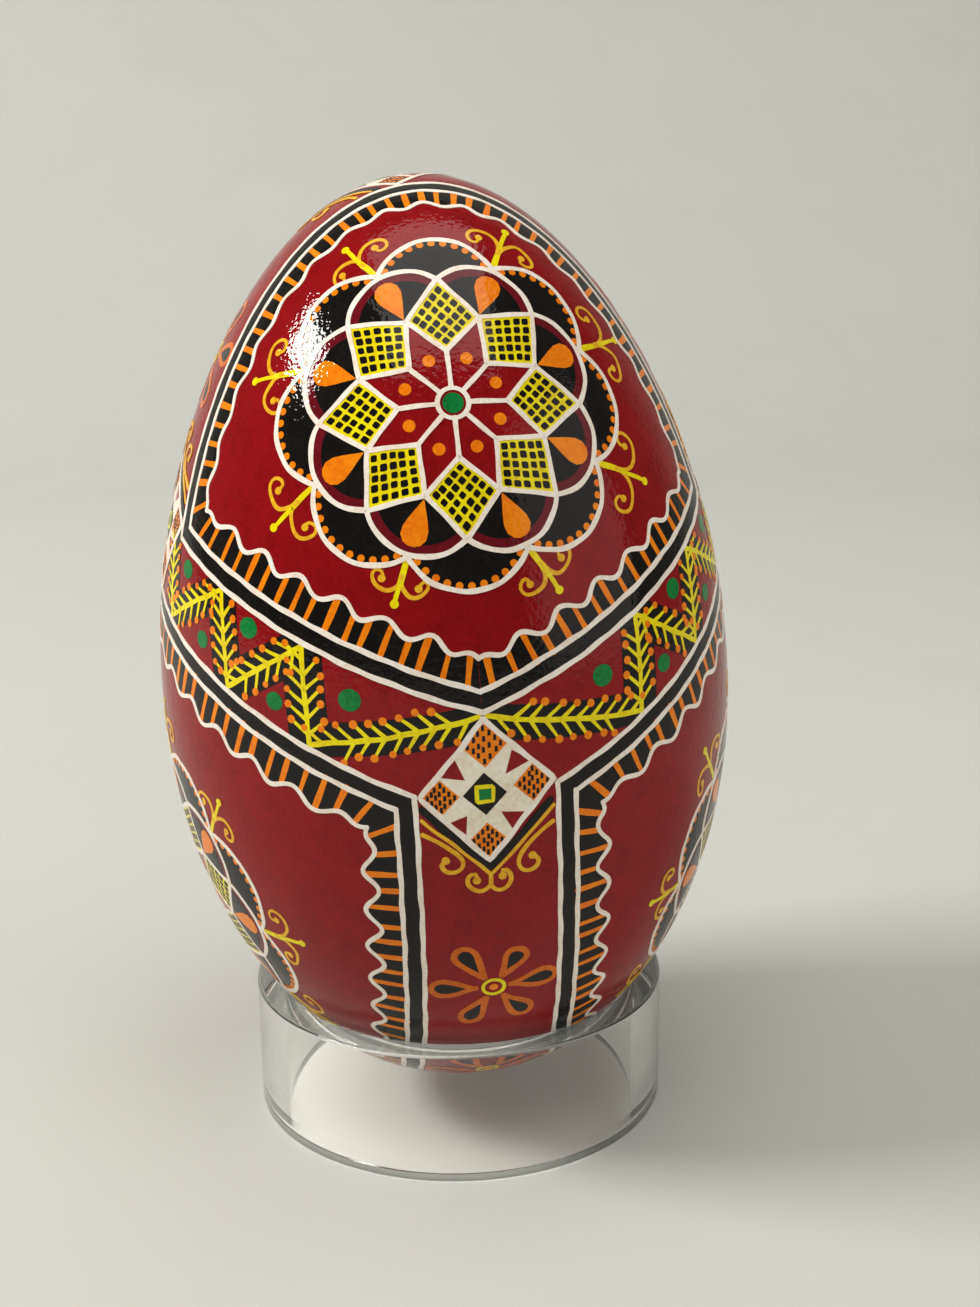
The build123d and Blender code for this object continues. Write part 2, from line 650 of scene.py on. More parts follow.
class Band:
    """A ribbon round the egg, whose centre line is cut by a flat plane."""

    def __init__(
        self, start: Array, through: Array, end: Array, half_width: float, end_width: float
    ) -> None:
        """Lay the centre line.

        Args:
            start: Its first point.
            through: A point that it goes through.
            end: Its last point.
            half_width: From the centre line to the inner edge lines at the start, in mm.
            end_width: The same at the end, in mm.
        """
        self.half_width, self.end_width = half_width, end_width
        plane = unit(np.cross(through - start, end - start))
        hub = plane * (plane @ start)
        first = unit(start - hub)
        second = np.cross(plane, first)

        def bearing(point: Array) -> float:
            """Give the angle round the hub from the first point."""
            arm = point - hub
            return math.atan2(arm @ second, arm @ first) % (2 * math.pi)

        last = bearing(end)
        if bearing(through) > last:
            second, last = -second, 2 * math.pi - last
        turns = np.linspace(0, last, BAND_RAYS)
        rays = np.cos(turns)[:, None] * first + np.sin(turns)[:, None] * second
        low, high = np.zeros(len(turns)), np.full(len(turns), EGG.length)
        for _ in range(HALVINGS):
            reach = (low + high) / 2
            probe = hub + rays * reach[:, None]
            t = np.arccos(np.clip(2 * probe[:, 2] / EGG.length, -1, 1))
            outside = (np.hypot(probe[:, 0], probe[:, 1]) > EGG.radius(t)) | (
                np.abs(probe[:, 2]) > EGG.length / 2
            )
            high, low = np.where(outside, reach, high), np.where(outside, low, reach)
        self.points = resampled(hub + rays * low[:, None], BAND_SPACING)
        self.points, self.normals = EGG.nearest(self.points)
        ahead = np.gradient(self.points, axis=0)
        self.across = unit(np.cross(self.normals, ahead))
        self.along = distances(self.points)
        self.length = float(self.along[-1])

    def place(self, points: Array) -> tuple[Array, Array]:
        """Wrap flat points onto the egg.

        Args:
            points: Rows of distance along and distance to the left, in mm.

        Returns:
            The surface points and normals.
        """
        s, w = points[:, 0], points[:, 1]
        start, side = (looked_up(s, self.along, rows) for rows in (self.points, self.across))
        # Past either end the centre line carries on straight.
        ahead = unit(np.gradient(self.points, axis=0))
        over = np.where(s < 0, s, np.where(s > self.length, s - self.length, 0.0))
        way = np.where((s < 0)[:, None], ahead[0], ahead[-1])
        start = start + way * over[:, None]
        facing = np.where(w < 0, -1.0, 1.0)[:, None]
        return EGG.walk(start, side * facing, np.abs(w), BAND_STEPS)

    def edge(self, s: Array) -> Array:
        """Give the band's half width at distances along it, in mm."""
        return np.interp(s, [0.0, self.length], [self.half_width, self.end_width])

    def side_of(self, point: Array) -> int:
        """Tell which side of the band a point is on.

        Args:
            point: A surface point.

        Returns:
            One for the left, minus one for the right.
        """
        nearest = int(np.argmin(np.linalg.norm(self.points - point, axis=1)))
        return 1 if (point - self.points[nearest]) @ self.across[nearest] > 0 else -1

    def heading(self, s: float) -> Array:
        """Give the direction of travel at a distance along the band.

        Args:
            s: The distance, in mm.

        Returns:
            The direction, of length one.
        """
        spot = int(np.argmin(np.abs(self.along - s)))
        spot = min(spot, len(self.points) - 2)
        return unit(self.points[spot + 1] - self.points[spot])

    def spot(self, s: float) -> Array:
        """Give the centre line's point at a distance along the band."""
        return looked_up(s, self.along, self.points)[0]


class MirroredBand:
    """A band whose across direction is turned round, so that left is right."""

    def __init__(self, band: Band, side: int) -> None:
        """Take a band and the side that counts as positive."""
        self.band, self.side = band, side

    def place(self, points: Array) -> tuple[Array, Array]:
        """Wrap flat points onto the egg.

        Args:
            points: Rows of distance along and distance to the positive side, in mm.

        Returns:
            The surface points and normals.
        """
        s = points[:, 0]
        width = points[:, 1] * self.band.edge(s) / self.band.half_width
        return self.band.place(np.column_stack([s, width * self.side]))


# -------------------------------------------------------- films of one colour


@dataclass
class Film:
    """The marks of one dye in one motif, all lying on the shell."""

    dye: Dye
    points: list[Array] = field(default_factory=list)
    normals: list[Array] = field(default_factory=list)
    kinds: list[Array] = field(default_factory=list)
    reaches: list[Array] = field(default_factory=list)
    edges: list[tuple[int, int]] = field(default_factory=list)
    faces: list[list[int]] = field(default_factory=list)
    count: int = 0

    def add(self, points: Array, normals: Array, kind: int, reach: Array) -> int:
        """Add points to the film.

        Args:
            points: Their places in the egg's frame.
            normals: The shell's normals there.
            kind: 0 for a filled shape, 1 for a line, 2 for a dot.
            reach: Each one's half width or radius, in mm.

        Returns:
            The number of the first new point.
        """
        first = self.count
        self.points.append(points)
        self.normals.append(normals)
        self.kinds.append(np.full(len(points), kind))
        self.reaches.append(np.broadcast_to(reach, len(points)).astype(float))
        self.count += len(points)
        return first


@dataclass
class Mark:
    """One shape on a flat sheet, before it is wrapped onto the egg."""

    dye: Dye
    kind: int
    level: float
    points: Array
    reach: Array
    faces: list[tuple[int, ...]] = field(default_factory=list)
    closed: bool = False


class Sheet:
    """A motif's marks on one flat sheet."""

    def __init__(self, chart: RoundChart | Band | MirroredBand, seed: int) -> None:
        """Start a sheet.

        Args:
            chart: How the sheet is wrapped onto the egg.
            seed: Fixes how the hand strays on this sheet.
        """
        self.chart = chart
        self.random = np.random.default_rng(seed)
        self.marks: list[Mark] = []

    def strayed(self, points: Array, amount: float) -> Array:
        """Let a line wander smoothly, as a hand does.

        Args:
            points: The line's points.
            amount: How far it may stray, in mm.

        Returns:
            The wandering line.
        """
        along = distances(points)
        drift = np.zeros_like(points)
        for wave in DRIFT_WAVES:
            phase = self.random.uniform(0, 2 * math.pi, 2)
            drift += 0.5 * np.sin(along[:, None] * 2 * math.pi / wave + phase)
        return points + amount * drift

    def line(
        self,
        dye: Dye,
        points: Array,
        width: float,
        level: float,
        end_width: float | None = None,
        closed: bool = False,
        stray: float = HAND_DRIFT,
    ) -> None:
        """Draw a line with round ends.

        Args:
            dye: Its colour.
            points: Its corners.
            width: Its width, in mm.
            level: Its height in the stack of films.
            end_width: Its width at the far end, if it tapers.
            closed: Whether it joins up.
            stray: How far the hand strays, in mm.
        """
        points = resampled(points, LINE_SPACING)
        if closed:
            points = points[:-1]
        else:
            points = self.strayed(points, stray)
        widths = np.linspace(width, width if end_width is None else end_width, len(points))
        swell = 1 + SWELL * np.sin(np.arange(len(points)) * 0.5 + self.random.uniform(0, 6.3))
        self.marks.append(Mark(dye, 1, level, points, widths * swell / 2, closed=closed))
        if not closed:
            self.dot(dye, points[0], widths[0] * swell[0] / 2, level)
            self.dot(dye, points[-1], widths[-1] * swell[-1] / 2, level)

    def dot(self, dye: Dye, centre: Array, radius: float, level: float) -> None:
        """Draw a small round dot."""
        self.marks.append(Mark(dye, 2, level, np.asarray(centre, float)[None], np.array([radius])))

    def plate(self, dye: Dye, outline: Array, level: float) -> None:
        """Fill a small convex shape with a single face."""
        face = tuple(range(len(outline)))
        self.marks.append(Mark(dye, 0, level, np.asarray(outline, float), np.zeros(1), [face]))

    def fill(self, dye: Dye, outline: Array, level: float) -> None:
        """Fill a shape.

        Args:
            dye: Its colour.
            outline: Its corners in order.
            level: Its height in the stack of films.
        """
        corners = np.asarray(outline, float)
        # The rim keeps the true corners as well as the even points between them.
        loop: list[Array] = []
        for a, b in zip(corners, np.roll(corners, -1, 0)):
            parts = max(1, int(math.ceil(np.linalg.norm(b - a) / FACET)))
            loop.extend(a + (b - a) * k / parts for k in range(parts))
        rim = np.array(loop)
        low, high = rim.min(0), rim.max(0)
        xs = np.arange(low[0] + FACET / 2, high[0], FACET)
        ys = np.arange(low[1] + FACET / 2, high[1], FACET)
        grid = np.array([(x, y) for x in xs for y in ys]).reshape(-1, 2)
        grid = grid[inside(grid, rim)] if len(grid) else grid
        if len(grid):
            gap = np.linalg.norm(grid[:, None] - rim[None], axis=2).min(1)
            grid = grid[gap > FACET * 0.4]
        every = np.vstack([rim, grid])
        ring = [(i, (i + 1) % len(rim)) for i in range(len(rim))]
        verts, _, faces, *_ = delaunay_2d_cdt(
            [Vector(p) for p in every], ring, [list(range(len(rim)))], 1, 1e-5, False
        )
        spots = np.array([tuple(v) for v in verts])
        self.marks.append(
            Mark(dye, 0, level, spots, np.zeros(1), [tuple(f) for f in faces])
        )

    def strip(self, dye: Dye, left: Array, right: Array, level: float) -> None:
        """Fill between two lines that have as many points as each other.

        Args:
            dye: Its colour.
            left: One side's points.
            right: The other side's points.
            level: Its height in the stack of films.
        """
        widest = float(np.linalg.norm(right - left, axis=1).max())
        rows = max(1, int(math.ceil(widest / FACET)))
        shares = np.linspace(0, 1, rows + 1)[:, None, None]
        spots = (left * (1 - shares) + right * shares).reshape(-1, 2)
        n = len(left)
        faces = [
            (r * n + i, (r + 1) * n + i, (r + 1) * n + i + 1, r * n + i + 1)
            for r in range(rows)
            for i in range(n - 1)
        ]
        self.marks.append(Mark(dye, 0, level, spots, np.zeros(1), faces))

    def wrap(self, motif: str, films: dict[str, Film]) -> None:
        """Wrap every mark onto the egg and add it to its film.

        Args:
            motif: The films' family name.
            films: All films by piece name, which this adds to.
        """
        if not self.marks:
            return
        spots, normals = self.chart.place(np.vstack([m.points for m in self.marks]))
        first = 0
        for mark in self.marks:
            last = first + len(mark.points)
            name = f"{motif}_{mark.dye.name.lower()}"
            film = films.setdefault(name, Film(mark.dye))
            place, out = spots[first:last], normals[first:last]
            first = last
            lifted = place + out * mark.level * FILM_STEP
            if mark.kind:
                start = film.add(lifted, out, mark.kind, mark.reach)
                if mark.kind == 1:
                    n = len(lifted)
                    film.edges.extend((start + i, start + i + 1) for i in range(n - 1))
                    if mark.closed:
                        film.edges.append((start + n - 1, start))
            else:
                add_slab(film, lifted, place - out * FILM_ROOT, out, mark.faces)


def inside(points: Array, outline: Array) -> Array:
    """Tell which points are inside an outline.

    Args:
        points: The points to test.
        outline: The outline's corners in order.

    Returns:
        One truth value for each point.
    """
    x, y = points[:, :1], points[:, 1:]
    x0, y0 = outline[:, 0], outline[:, 1]
    x1, y1 = np.roll(x0, -1), np.roll(y0, -1)
    spans = (y0 > y) != (y1 > y)
    rise = np.where(y1 == y0, 1e-12, y1 - y0)
    return (spans & (x < (x1 - x0) * (y - y0) / rise + x0)).sum(1) % 2 == 1


def add_slab(film: Film, top: Array, root: Array, out: Array, faces: list[tuple[int, ...]]) -> None:
    """Add a closed slab to a film.

    Args:
        film: The film that it goes in.
        top: The points of its upper side.
        root: The points under them, inside the shell's wall.
        out: The shell's normals there.
        faces: The faces of its upper side, as numbers of points.
    """
    a, b, c = (top[faces[len(faces) // 2][i]] for i in range(3))
    if np.cross(b - a, c - b) @ out[faces[len(faces) // 2][0]] < 0:
        faces = [tuple(reversed(f)) for f in faces]
    start = film.add(np.vstack([top, root]), np.vstack([out, out]), 0, np.zeros(1))
    n = len(top)
    sides = {(f[i], f[(i + 1) % len(f)]) for f in faces for i in range(len(f))}
    for f in faces:
        film.faces.append([start + i for i in f])
        film.faces.append([start + n + i for i in reversed(f)])
    for p, q in sides:
        if (q, p) not in sides:
            film.faces.append([start + p, start + n + p, start + n + q, start + q])


# ------------------------------------------------------------ geometry nodes


def sockets_of(tree: bpy.types.NodeTree, inputs: dict[str, tuple[str, object]]) -> None:
    """Give a tree its geometry in and out and its named inputs.

    Args:
        tree: The tree.
        inputs: Each input's socket type and starting value by name.
    """
    face = tree.interface
    face.new_socket("Geometry", in_out="INPUT", socket_type="NodeSocketGeometry")
    for name, (kind, value) in inputs.items():
        socket = face.new_socket(name, in_out="INPUT", socket_type=kind)
        if value is not None:
            socket.default_value = value
    face.new_socket("Geometry", in_out="OUTPUT", socket_type="NodeSocketGeometry")


def baked(
    source: bpy.types.Mesh, tree: bpy.types.NodeTree, values: dict[str, object], name: str
) -> bpy.types.Mesh:
    """Run a mesh through a tree and keep the result as a plain mesh.

    Args:
        source: The mesh that goes in.
        tree: The tree.
        values: The modifier's inputs by name.
        name: The new mesh's name.

    Returns:
        The plain mesh.
    """
    holder = bpy.data.objects.new(name + "_holder", source)
    bpy.context.scene.collection.objects.link(holder)
    modifier = holder.modifiers.new("tree", "NODES")
    modifier.node_group = tree
    for item in tree.interface.items_tree:
        if item.item_type == "SOCKET" and item.in_out == "INPUT" and item.name in values:
            modifier[item.identifier] = values[item.name]
    graph = bpy.context.evaluated_depsgraph_get()
    mesh = bpy.data.meshes.new_from_object(holder.evaluated_get(graph), depsgraph=graph)
    mesh.name = name
    holder.modifiers.remove(modifier)
    bpy.data.objects.remove(holder)
    bpy.data.meshes.remove(source)
    return mesh


def finished(tree: bpy.types.NodeTree, geometry: object, material: object) -> None:
    """End a tree by making its instances real and dressing the result.

    Args:
        tree: The tree.
        geometry: The geometry output to end with.
        material: The material input.
    """
    real = add_node(tree, "GeometryNodeRealizeInstances", {"Geometry": geometry}).outputs[0]
    dress = {"Geometry": real, "Material": material}
    dressed = add_node(tree, "GeometryNodeSetMaterial", dress).outputs[0]
    add_node(tree, "NodeGroupOutput", {"Geometry": dressed})


def wax_marks_tree() -> bpy.types.NodeTree:
    """Build the tree that turns lines and dots into films on the shell.

    Points whose kind is 1 are lines, which get a flat profile laid square to the
    shell. Points whose kind is 2 are dots, which get a round stamp. Points whose
    kind is 0 are filled shapes, which pass through.

    Returns:
        The tree.
    """
    tree = bpy.data.node_groups.new("wax_marks", "GeometryNodeTree")
    inputs = {
        "Line Thickness": ("NodeSocketFloat", 0.3),
        "Dot Sides": ("NodeSocketInt", 14),
        "Dot Thickness": ("NodeSocketFloat", 0.06),
        "Material": ("NodeSocketMaterial", None),
    }
    sockets_of(tree, inputs)
    source = add_node(tree, "NodeGroupInput").outputs
    kind, out, reach = (
        add_node(
            tree, "GeometryNodeInputNamedAttribute", {"Name": name}, data_type=data_type
        ).outputs["Attribute"]
        for name, data_type in (("kind", "INT"), ("out", "FLOAT_VECTOR"), ("reach", "FLOAT"))
    )

    def only(number: int) -> bpy.types.NodeSocket:
        """Pick out one kind of point.

        Args:
            number: The kind.

        Returns:
            The geometry of those points alone.
        """
        pair = {2: kind, 3: number}
        same = add_node(tree, "FunctionNodeCompare", pair, data_type="INT", operation="EQUAL")
        pick = {"Geometry": source["Geometry"], "Selection": same.outputs["Result"]}
        return add_node(tree, "GeometryNodeSeparateGeometry", pick, domain="POINT").outputs[0]

    under, half = (
        add_node(tree, "ShaderNodeMath", {0: size, 1: share}, operation="MULTIPLY").outputs[0]
        for size, share in ((source["Line Thickness"], -1.0), (source["Dot Thickness"], -0.5))
    )
    # Lines: a flat strip, one unit to each side, that hangs under the line.
    corners = {
        f"Point {i + 1}": add_node(tree, "ShaderNodeCombineXYZ", {"X": x, "Y": y}).outputs[0]
        for i, (x, y) in enumerate(((0.0, -1.0), (0.0, 1.0), (under, 1.0), (under, -1.0)))
    }
    profile = add_node(
        tree, "GeometryNodeCurvePrimitiveQuadrilateral", corners, mode="POINTS"
    ).outputs[0]
    paths = add_node(tree, "GeometryNodeMeshToCurve", {"Mesh": only(1)}).outputs[0]
    stand = {"Curve": paths, "Normal": out}
    squared = add_node(tree, "GeometryNodeSetCurveNormal", stand, mode="FREE").outputs[0]
    sweep = {"Curve": squared, "Profile Curve": profile, "Scale": reach, "Fill Caps": True}
    lines = add_node(tree, "GeometryNodeCurveToMesh", sweep).outputs[0]
    # Dots: a thin round plate stood square to the shell.
    plate = {"Vertices": source["Dot Sides"], "Radius": 1.0, "Depth": source["Dot Thickness"]}
    stamp = add_node(tree, "GeometryNodeMeshCylinder", plate, fill_type="NGON").outputs["Mesh"]
    drop = add_node(tree, "ShaderNodeCombineXYZ", {"Z": half}).outputs[0]
    move = {"Geometry": stamp, "Translation": drop}
    sunk = add_node(tree, "GeometryNodeTransform", move).outputs[0]
    stood = add_node(tree, "FunctionNodeAlignRotationToVector", {"Vector": out}, axis="Z")
    size = add_node(tree, "ShaderNodeCombineXYZ", {"X": reach, "Y": reach, "Z": 1.0})
    put = {
        "Points": only(2),
        "Instance": sunk,
        "Rotation": stood.outputs["Rotation"],
        "Scale": size.outputs[0],
    }
    dots = add_node(tree, "GeometryNodeInstanceOnPoints", put).outputs[0]
    joined = add_node(tree, "GeometryNodeJoinGeometry")
    for part in (only(0), lines, dots):
        tree.links.new(part, joined.inputs[0])
    finished(tree, joined.outputs[0], source["Material"])
    return tree


def turning_tree() -> bpy.types.NodeTree:
    """Build the tree that spins a section about the upright axis.

    The section is the geometry that comes in, its points in order. Each point of the
    result keeps the number of its section point in the attribute row.

    Returns:
        The tree.
    """
    tree = bpy.data.node_groups.new("turned_on_a_lathe", "GeometryNodeTree")
    inputs = {
        "Section Points": ("NodeSocketInt", 2),
        "Turns Round": ("NodeSocketInt", 96),
        "Material": ("NodeSocketMaterial", None),
    }
    sockets_of(tree, inputs)
    source = add_node(tree, "NodeGroupInput").outputs
    index = add_node(tree, "GeometryNodeInputIndex").outputs[0]
    known: dict[object, object] = {"turns": source["Turns Round"], "index": index}
    # Each row is a value's name, its operation and its two terms.
    for name, operation, first, second in (
        ("columns", "ADD", "turns", 1.0),
        ("ratio", "DIVIDE", "index", "columns"),
        ("row", "FLOOR", "ratio", 0.0),
        ("column", "FLOORED_MODULO", "index", "columns"),
        ("share", "DIVIDE", "column", "turns"),
        ("angle", "MULTIPLY", "share", 2 * math.pi),
        ("cosine", "COSINE", "angle", 0.0),
        ("sine", "SINE", "angle", 0.0),
    ):
        terms = {0: known.get(first, first), 1: known.get(second, second)}
        known[name] = add_node(tree, "ShaderNodeMath", terms, operation=operation).outputs[0]
    position = add_node(tree, "GeometryNodeInputPosition").outputs[0]
    look = {"Geometry": source["Geometry"], "Value": position, "Index": known["row"]}
    section = add_node(
        tree, "GeometryNodeSampleIndex", look, data_type="FLOAT_VECTOR", domain="POINT"
    )
    flat = add_node(tree, "ShaderNodeSeparateXYZ", {0: section.outputs["Value"]}).outputs
    x, y = (
        add_node(
            tree, "ShaderNodeMath", {0: flat["X"], 1: known[turn]}, operation="MULTIPLY"
        ).outputs[0]
        for turn in ("cosine", "sine")
    )
    place = {"X": x, "Y": y, "Z": flat["Z"]}
    spot = add_node(tree, "ShaderNodeCombineXYZ", place).outputs[0]
    cells = {"Vertices X": source["Section Points"], "Vertices Y": known["columns"]}
    grid = add_node(tree, "GeometryNodeMeshGrid", cells).outputs["Mesh"]
    label = {"Geometry": grid, "Name": "row", "Value": known["row"]}
    numbered = add_node(
        tree, "GeometryNodeStoreNamedAttribute", label, data_type="INT", domain="POINT"
    )
    move = {"Geometry": numbered.outputs[0], "Position": spot}
    moved = add_node(tree, "GeometryNodeSetPosition", move).outputs[0]
    weld = {"Geometry": moved, "Distance": 1e-4}
    closed = add_node(tree, "GeometryNodeMergeByDistance", weld).outputs[0]
    finished(tree, closed, source["Material"])
    return tree


# -------------------------------------------------------------- mesh finishing


def corner_data(mesh: bpy.types.Mesh) -> tuple[Array, Array, Array, Array, Array]:
    """Read a mesh as arrays.

    Args:
        mesh: The mesh.

    Returns:
        Its points, each corner's point, each corner's face, each face's centre and
        each face's normal.
    """
    points = np.empty(len(mesh.vertices) * 3)
    mesh.vertices.foreach_get("co", points)
    corners = np.empty(len(mesh.loops), np.int32)
    mesh.loops.foreach_get("vertex_index", corners)
    totals = np.empty(len(mesh.polygons), np.int32)
    mesh.polygons.foreach_get("loop_total", totals)
    centres = np.empty(len(mesh.polygons) * 3)
    mesh.polygons.foreach_get("center", centres)
    normals = np.empty(len(mesh.polygons) * 3)
    mesh.polygons.foreach_get("normal", normals)
    owner = np.repeat(np.arange(len(totals)), totals)
    return points.reshape(-1, 3), corners, owner, centres.reshape(-1, 3), normals.reshape(-1, 3)


def polish_on_egg(mesh: bpy.types.Mesh) -> None:
    """Shade a mesh in the egg's frame as if it were part of the smooth shell.

    Args:
        mesh: The mesh, whose faces along the shell take the shell's exact normals.
    """
    points, corners, owner, centres, normals = corner_data(mesh)
    _, shell = EGG.nearest(points)
    _, under = EGG.nearest(centres)
    lean = (normals * under).sum(1)
    along = np.abs(lean[owner]) > 0.8
    exact = shell[corners] * np.sign(lean[owner])[:, None]
    chosen = np.where(along[:, None], exact, normals[owner])
    mesh.shade_smooth()
    mesh.normals_split_custom_set(chosen.tolist())


def place_piece(mesh: bpy.types.Mesh, name: str, body: str) -> bpy.types.Object:
    """Make an object of a finished mesh and attach it to its body's empty.

    Args:
        mesh: The mesh, already in its place.
        name: The piece's name.
        body: The body that it rides on.

    Returns:
        The object.
    """
    piece = bpy.data.objects.new(name, mesh)
    bpy.context.scene.collection.objects.link(piece)
    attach(piece, body)
    mesh.calc_loop_triangles()
    LOG.info("%s: %d triangles on %s", name, len(mesh.loop_triangles), body)
    return piece


def section_mesh(points: Array) -> bpy.types.Mesh:
    """Make a mesh of a section's points, radius along X and height along Z.

    Args:
        points: Rows of radius and height, in mm.

    Returns:
        The mesh, of points alone.
    """
    mesh = bpy.data.meshes.new("section")
    mesh.from_pydata([(float(r), 0.0, float(z)) for r, z in points], [], [])
    return mesh


def volume_of(mesh: bpy.types.Mesh) -> float:
    """Give the signed volume inside a closed mesh, in its own units cubed.

    Args:
        mesh: The mesh.

    Returns:
        The volume, below nought if the faces point inwards.
    """
    mesh.calc_loop_triangles()
    corners = np.array([t.vertices[:] for t in mesh.loop_triangles])
    points = np.array([v.co[:] for v in mesh.vertices])
    a, b, c = (points[corners[:, i]] for i in range(3))
    return float((a * np.cross(b, c)).sum() / 6)


def spun(
    points: Array, turns: int, material: bpy.types.Material, tree: bpy.types.NodeTree, name: str
) -> bpy.types.Mesh:
    """Turn a section on the lathe.

    Args:
        points: The section's points in order.
        turns: How many facets go round.
        material: The finish.
        tree: The lathe.
        name: The mesh's name.

    Returns:
        The closed mesh, its faces outwards.
    """
    values = {"Section Points": len(points), "Turns Round": turns, "Material": material}
    mesh = baked(section_mesh(points), tree, values, name)
    if volume_of(mesh) < 0:
        mesh.flip_normals()
    return mesh


# --------------------------------------------------------------- main pieces


@dataclass
class BlownShell:
    """The blown eggshell, dyed red all over, with its blow hole at the blunt end."""

    outer_rows: int = 190
    inner_rows: int = 48
    turns: int = 256

    def section(self) -> Array:
        """Give the wall's section from the hole up the outside and down the inside.

        Returns:
            Rows of radius and height, in mm.
        """
        half = EGG.length / 2
        low, high = math.pi / 2, math.pi
        for _ in range(60):
            mid = (low + high) / 2
            low, high = (mid, high) if EGG.radius(np.array(mid)) > EGG.hole_radius else (low, mid)
        outer = np.linspace(high, 0, self.outer_rows)
        outside = np.column_stack([EGG.radius(outer), half * np.cos(outer)])
        inner = np.linspace(0, high, self.inner_rows)
        r, z = EGG.radius(inner), half * np.cos(inner)
        nr, nz = half * np.sin(inner), EGG.slope(inner)
        size = np.hypot(nr, nz)
        inside_wall = np.column_stack([r - EGG.wall * nr / size, z - EGG.wall * nz / size])
        inside_wall[0, 0] = 0.0
        inside_wall[-1, 0] = EGG.hole_radius
        outside[-1, 0] = 0.0
        return np.vstack([outside, inside_wall, outside[:1]])

    def build(self, lathe: bpy.types.NodeTree, material: bpy.types.Material) -> bpy.types.Object:
        """Build the shell and set it on the ring.

        Args:
            lathe: The turning tree.
            material: Its finish.

        Returns:
            The piece.
        """
        mesh = spun(self.section(), self.turns, material, lathe, "blown_shell")
        polish_on_egg(mesh)
        mesh.transform(EGG.settle())
        piece = place_piece(mesh, "blown_shell", EGG_BODY)
        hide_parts("eggshell")
        return piece


@dataclass
class WaxSeal:
    """The dab of beeswax that closes the blow hole."""

    radius: float = 1.46
    bottom: float = -40.63
    top: float = -39.42
    turns: int = 48

    def build(self, lathe: bpy.types.NodeTree, material: bpy.types.Material) -> bpy.types.Object:
        """Build the dab and press it into the hole.

        Args:
            lathe: The turning tree.
            material: Its finish.

        Returns:
            The piece.
        """
        low = arc(np.array([self.radius - 0.22, self.bottom + 0.3]), 0.22, -90, 0, 5)
        high = arc(np.array([self.radius - 0.3, self.top - 0.3]), 0.3, 0, 90, 5)
        dome = [(0.0, self.bottom), (0.5, self.bottom + 0.01), (0.95, self.bottom + 0.04)]
        section = np.vstack([dome, low, high, [(0.6, self.top + 0.03), (0.0, self.top + 0.04)]])
        mesh = spun(section, self.turns, material, lathe, "wax_seal")
        mesh.shade_smooth()
        mesh.transform(EGG.settle())
        piece = place_piece(mesh, "wax_seal", EGG_BODY)
        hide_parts("blow_hole_seal")
        return piece


@dataclass
class RingStand:
    """The clear acrylic ring, a slice of tube with eased edges."""

    outer_radius: float = 19.0
    inner_radius: float = 16.5
    height: float = 12.001
    edge_round: float = 0.3
    turns: int = 192
    edge_steps: int = 6

    def section(self) -> tuple[Array, Array]:
        """Give the wall's section and the exact normal at each of its points.

        Returns:
            Rows of radius and height, and rows of the normal's parts.
        """
        e = self.edge_round
        corners = (
            (self.outer_radius - e, e, -90),
            (self.outer_radius - e, self.height - e, 0),
            (self.inner_radius + e, self.height - e, 90),
            (self.inner_radius + e, e, 180),
        )
        points, normals = [], []
        for r, z, start in corners:
            curve = arc(np.zeros(2), 1.0, start, start + 90, self.edge_steps)
            points.append(np.array([r, z]) + e * curve)
            normals.append(curve)
        points.append(points[0][:1])
        normals.append(normals[0][:1])
        return np.vstack(points), np.vstack(normals)

    def build(self, lathe: bpy.types.NodeTree, material: bpy.types.Material) -> bpy.types.Object:
        """Build the ring.

        Args:
            lathe: The turning tree.
            material: Its finish.

        Returns:
            The piece.
        """
        points, normals = self.section()
        mesh = spun(points, self.turns, material, lathe, "clear_ring")
        spots, corners, *_ = corner_data(mesh)
        rows = np.empty(len(mesh.vertices), np.int32)
        mesh.attributes["row"].data.foreach_get("value", rows)
        turn = np.arctan2(spots[:, 1], spots[:, 0])
        nr, nz = normals[rows].T
        exact = np.column_stack([nr * np.cos(turn), nr * np.sin(turn), nz])
        mesh.shade_smooth()
        mesh.normals_split_custom_set(exact[corners].tolist())
        mesh.transform(Matrix.Scale(MM, 4))
        piece = place_piece(mesh, "clear_ring", STAND_BODY)
        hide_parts("ring_stand")
        return piece


# ------------------------------------------------------------------- motifs


